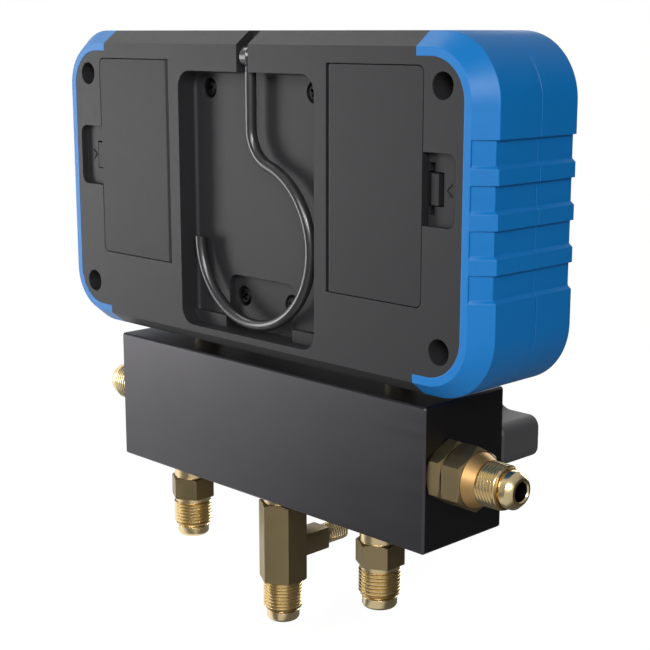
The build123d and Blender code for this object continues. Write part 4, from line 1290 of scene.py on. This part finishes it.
@dataclass(frozen=True)
class CrossScrews:
    """A set of four like screws with cross recesses, in place of their plain solids."""

    node: str
    head_mm: float
    head_height_mm: float
    shank_mm: float
    shank_length_mm: float
    seats_mm: tuple[float, float]
    lower_x_mm: float = 0.0
    recess: tuple[float, float] = (1.1, 0.28)
    recess_depth: float = 0.9
    first_roll: float = 0.5
    roll_step: float = 0.7

    def one(self) -> Piece:
        """Turns one screw that points along +Z from under its head and cuts its recess.

        Returns:
            The screw.
        """
        head, rise = self.head_mm / 2, self.head_height_mm
        shank, end = self.shank_mm / 2, self.shank_length_mm
        outline = [(0.0, end), (shank - 0.3, end), (shank, end - 0.4), (shank, 0.0), (head, 0.0)]
        outline += [(head, -0.5 * rise), (head - 0.2, -0.8 * rise), (head - 0.7, -rise), (0.0, -rise)]
        screw = Bench.lathe("screw", outline, 40)
        for length, width in (self.recess, self.recess[::-1]):
            middle = (0.0, 0.0, -self.recess_depth * rise)
            Bench.cut(screw, Bench.brick("blade", (length * head, width * head, rise), middle))
        return screw

    def places(self) -> list[tuple[float, float, float]]:
        """Finds the screws' places at the corners of their solid's box.

        Returns:
            The upper pair and then the lower pair, which can be set closer.
        """
        low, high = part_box(self.node)
        head = self.head_mm / 2
        left, right = low.x / MM + head, high.x / MM - head
        bottom, top = low.z / MM + head, high.z / MM - head
        upper, lower = self.seats_mm
        inner = (-self.lower_x_mm, self.lower_x_mm) if self.lower_x_mm else (left, right)
        return [(left, upper, top), (right, upper, top), *((side, lower, bottom) for side in inner)]

    def build(self) -> None:
        """Sets a screw at every place and joins them."""
        pattern = self.one()
        copies = []
        for index, place in enumerate(self.places()):
            roll = self.first_roll + self.roll_step * index
            copies.append(Bench.copy(pattern, f"screw_{index}", placing(Axis.FRONT, place, roll)))
        bpy.data.objects.remove(pattern)
        screws = Bench.join(f"cross_{self.node}", *copies)
        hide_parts(self.node)
        Bench.coat(BLACK_STEEL, screws)
        Bench.finish(screws, "housing", "screw_steel")


@dataclass
class LatchArrows:
    """A small raised arrow head on the floor of each latch pocket, which points at the latch."""

    floor_mm: float = 0.75
    tip_x_mm: float = 66.75
    stroke_mm: float = 2.1
    width_mm: float = 0.45
    proud_mm: float = 0.28
    edge_mm: float = 0.1
    spread: float = 40.0

    def build(self) -> None:
        """Makes one stroke and copies it to both strokes of both arrows."""
        low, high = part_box("battery_door_left")
        middle = (low.z + high.z) / 2 / MM
        size = (self.stroke_mm, 2 * self.proud_mm, self.width_mm)
        pattern = Bench.brick("stroke", size, (self.stroke_mm / 2, 0.0, 0.0))
        Bench.bevel(pattern, self.edge_mm, 2)
        strokes = []
        for side in (-1, 1):
            flip = Matrix.Rotation(pi if side < 0 else 0.0, 4, "Z")
            seat = Matrix.Translation(Vector((side * self.tip_x_mm, self.floor_mm, middle)) * MM)
            for way in (-1, 1):
                turn = Matrix.Rotation(radians(way * self.spread), 4, "Y")
                strokes.append(Bench.copy(pattern, f"stroke_{side}_{way}", seat @ flip @ turn))
        bpy.data.objects.remove(pattern)
        arrows = Bench.join("latch_arrows", *strokes)
        Bench.coat(BLACK_HOUSING, arrows)
        Bench.finish(arrows, "housing", "black_plastic")


@dataclass
class Housing:
    """The two shells, their guards, the doors, the display side, the screws and the latches' arrows."""

    doors: tuple[str, ...] = ("battery_door_left", "battery_door_right")
    keys: tuple[str, ...] = ("key_power", "key_mode", "key_enter", "key_up", "key_down")
    guards: tuple[str, ...] = ("guard_rear_left", "guard_rear_right", "guard_front_left", "guard_front_right")
    case_screws: CrossScrews = CrossScrews(
        "case_screws",
        head_mm=5.6,
        head_height_mm=2.0,
        shank_mm=2.9,
        shank_length_mm=16.5,
        seats_mm=(-9.2, -9.2),
    )
    well_screws: CrossScrews = CrossScrews(
        "well_screws",
        head_mm=4.9,
        head_height_mm=1.7,
        shank_mm=2.4,
        shank_length_mm=7.5,
        seats_mm=(-5.0, -7.2),
        lower_x_mm=9.45,
    )

    def dress(self) -> None:
        """Dresses every solid of the housing."""
        dress(["rear_shell", "front_shell"], BLACK_HOUSING)
        dress(self.guards, BLUE_GUARD)
        dress(self.doors, BLACK_DOOR)
        dress(self.keys, KEY_RUBBER)
        dress(["keypad_mat"], SEAL_RUBBER)
        dress(["lcd_frame", "lcd_backlight"], FRAME_PLASTIC)
        dress(["display_window"], WINDOW_CLEAR)
        dress(["lcd_panel"], DISPLAY_DARK)
        dress(["circuit_board"], BOARD_GREEN)
        dress(["board_screws", "hook_pin"], PLATED_STEEL)
        dress(["hook"], HOOK_WIRE)
        for side in ("left", "right"):
            low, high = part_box(f"battery_cells_{side}")
            sleeve = CellSleeve(f"cell_sleeve_{side}", (0.03, 0.03, 0.032), 0.3, low.z / MM, high.z / MM)
            dress([f"battery_cells_{side}"], sleeve)
            dress([f"battery_contacts_{side}"], CONTACT_STEEL)

    def build(self) -> None:
        """Makes the pieces that the solids show too plainly."""
        self.case_screws.build()
        self.well_screws.build()
        LatchArrows().build()


@dataclass
class Valves:
    """The block with its posts, valves, knobs and sight glass."""

    caps: dict[str, Finish] = field(default_factory=lambda: {"low": CAP_BLUE, "high": CAP_RED})

    def dress(self) -> None:
        """Dresses every solid of the block."""
        dress(["manifold_block"], BLOCK_METAL)
        dress(["sight_ring"], BRASS_Y)
        dress(["sight_glass"], SIGHT_CLEAR)
        dress(["post_nuts"], PLATED_STEEL)
        for side, cap in self.caps.items():
            # The posts' colour is paler than their plating, as painted light for the shaded gap they stand
            # in.
            dress([f"sensor_post_{side}"], POST_PLATING_AND_PAINTED_LIGHT)
            dress([f"pressure_sensor_{side}"], SENSOR_STEEL)
            dress([f"valve_bonnet_{side}", f"valve_stem_{side}", f"valve_plunger_{side}"], BRASS_Y)
            dress([f"valve_seals_{side}"], SEAL_RUBBER)
            dress([f"valve_knob_{side}"], KNOB_PLASTIC)
            dress([f"knob_cap_{side}"], cap)
            dress([f"knob_screw_{side}"], PLATED_STEEL)


@dataclass(frozen=True)
class Lamp:
    """A soft box that faces the gauge."""

    name: str
    place_mm: tuple[float, float, float]
    size_mm: tuple[float, float]
    watts: float
    aim_mm: tuple[float, float, float] = (0.0, -10.0, -70.0)

    def build(self) -> None:
        """Adds the lamp."""
        data = bpy.data.lights.new(self.name, "AREA")
        data.energy = self.watts
        data.shape = "RECTANGLE"
        data.size, data.size_y = (side * MM for side in self.size_mm)
        lamp = bpy.data.objects.new(self.name, data)
        lamp.location = Vector(self.place_mm) * MM
        aim = Vector(self.aim_mm) * MM - lamp.location
        lamp.rotation_euler = aim.to_track_quat("-Z", "Y").to_euler()
        bpy.context.scene.collection.objects.link(lamp)


@dataclass
class Studio:
    """Floor, lamps, surroundings and camera."""

    camera_mm: tuple[float, float, float] = (-271.6, 239.9, 6.1)
    camera_way: tuple[float, float, float] = (0.6986, -0.6855, -0.2049)
    lens_mm: float = 77.54
    floor_below_mm: float = 12.0
    floor_r_mm: float = 900.0
    floor_mm: float = 6.0
    dark_side: float = 0.04
    light_side: float = 0.35
    shown_above: float = 0.35
    shown_behind: float = 0.45
    shown_beside: float = 0.85
    lamps: tuple[Lamp, ...] = (
        Lamp("left_box", (420.0, 290.0, -50.0), (150.0, 240.0), 0.8),
        Lamp("back_box", (-250.0, 660.0, 260.0), (300.0, 240.0), 2.2),
        Lamp("camera_box", (-520.0, 460.0, 230.0), (260.0, 200.0), 2.75),
        Lamp("top_box", (360.0, 60.0, 460.0), (260.0, 260.0), 0.8),
        Lamp("front_box", (150.0, -700.0, 20.0), (500.0, 400.0), 2.0),
    )

    def camera(self) -> None:
        """Places the camera where the photograph was taken from."""
        data = bpy.data.cameras.new("camera")
        data.lens = self.lens_mm
        data.sensor_width = 36.0
        data.clip_start = 0.01
        camera = bpy.data.objects.new("camera", data)
        camera.location = Vector(self.camera_mm) * MM
        camera.rotation_euler = Vector(self.camera_way).to_track_quat("-Z", "Y").to_euler()
        bpy.context.scene.collection.objects.link(camera)
        bpy.context.scene.camera = camera

    def surround(self, shader: Shader, across: Value, shown: Value) -> Socket:
        """Makes the room's light as a colour: pale on the gauge's right and dark on its left.

        Args:
            shader: The nodes that it is made in.
            across: How far to the right, from minus one to one.
            shown: Light that is added for mirror-like faces.

        Returns:
            The colour.
        """
        level = across.ramp(-0.6, 1.1) * self.light_side + self.dark_side + shown
        return shader.mix(level, grey(0.0), grey(1.0))

    def glow(self, across: Value, along: Value, reach: Value | float) -> tuple[Value, Value]:
        """Makes the light that mirror-like faces see around them.

        Args:
            across: How far to the right the ray goes.
            along: How far back it goes.
            reach: How far out it goes.

        Returns:
            The glow behind the camera and the one beside the gauge.
        """
        backwards = along * 0.66 - across * 0.75
        behind = (backwards / reach).ramp(0.72, 0.88) * self.shown_behind
        return behind, (across / reach).ramp(0.5, 0.95) * self.shown_beside

    def floor(self) -> None:
        """Lays a round pale floor that is white to the camera and keeps a faint shadow."""
        top = CAD_BOX[0][2] / MM - self.floor_below_mm
        floor = Bench.drum("floor", self.floor_r_mm, self.floor_mm, 96)
        Bench.lift(top - self.floor_mm, floor)
        material = bpy.data.materials.new("pale_floor")
        shader = Shader(material)
        path = shader.node("ShaderNodeLightPath")
        camera = shader.value(path, "Is Camera Ray")
        glossy = shader.value(path, "Is Glossy Ray")
        across, along, _ = shader.split(shader.place())
        square = across * across + along * along
        reach = square.maths("POWER", square, 0.5)
        rim = reach.ramp(0.12, 0.5)
        behind, beside = self.glow(across, along, reach + 0.001)
        pale = shader.mix(shader.noise(120.0), grey(0.56), grey(0.6))
        plain = shader.mix(camera, pale, shader.mix(rim, grey(0.18), grey(0.0)))
        white = shader.mix(rim, grey(0.9), grey(1.0))
        room = self.surround(shader, across * 2.0, behind + beside)
        shader.set(
            Base_Color=shader.mix(glossy, plain, grey(0.0)),
            Roughness=0.8,
            Specular_IOR_Level=0.0,
            Emission_Color=shader.mix(camera, shader.mix(glossy, grey(0.0), room), white),
            Emission_Strength=1.0,
        )
        floor.data.materials.append(material)

    def world(self) -> None:
        """Makes the world white to the camera and through glass, and a soft room to all else."""
        world = bpy.data.worlds.new("surround")
        bpy.context.scene.world = world
        shader = Shader(world, "ShaderNodeBackground", "ShaderNodeOutputWorld")
        path = shader.node("ShaderNodeLightPath")
        across, along, height = shader.split(shader.node("ShaderNodeTexCoord").outputs["Generated"])
        behind, beside = self.glow(across, along, 1.0)
        above = height.ramp(0.3, 0.8) * self.shown_above
        room = self.surround(shader, across, shader.value(path, "Is Glossy Ray") * (behind + above + beside))
        camera = shader.value(path, "Is Camera Ray") + shader.value(path, "Is Transmission Ray")
        shader.feed(shader.surface.inputs["Color"], shader.mix(camera, room, grey(1.0)))

    def build(self) -> None:
        """Sets up the whole studio."""
        bpy.context.scene.view_settings.view_transform = "Standard"
        self.camera()
        self.floor()
        self.world()
        for lamp in self.lamps:
            lamp.build()


def main() -> None:
    """Builds every sub-assembly in order."""
    logging.basicConfig(level=logging.INFO, format="%(name)s %(message)s")
    housing = Housing()
    housing.dress()
    Valves().dress()
    Fittings().build()
    housing.build()
    Studio().build()
    Bench.clear()


if __name__ == "__main__":
    main()
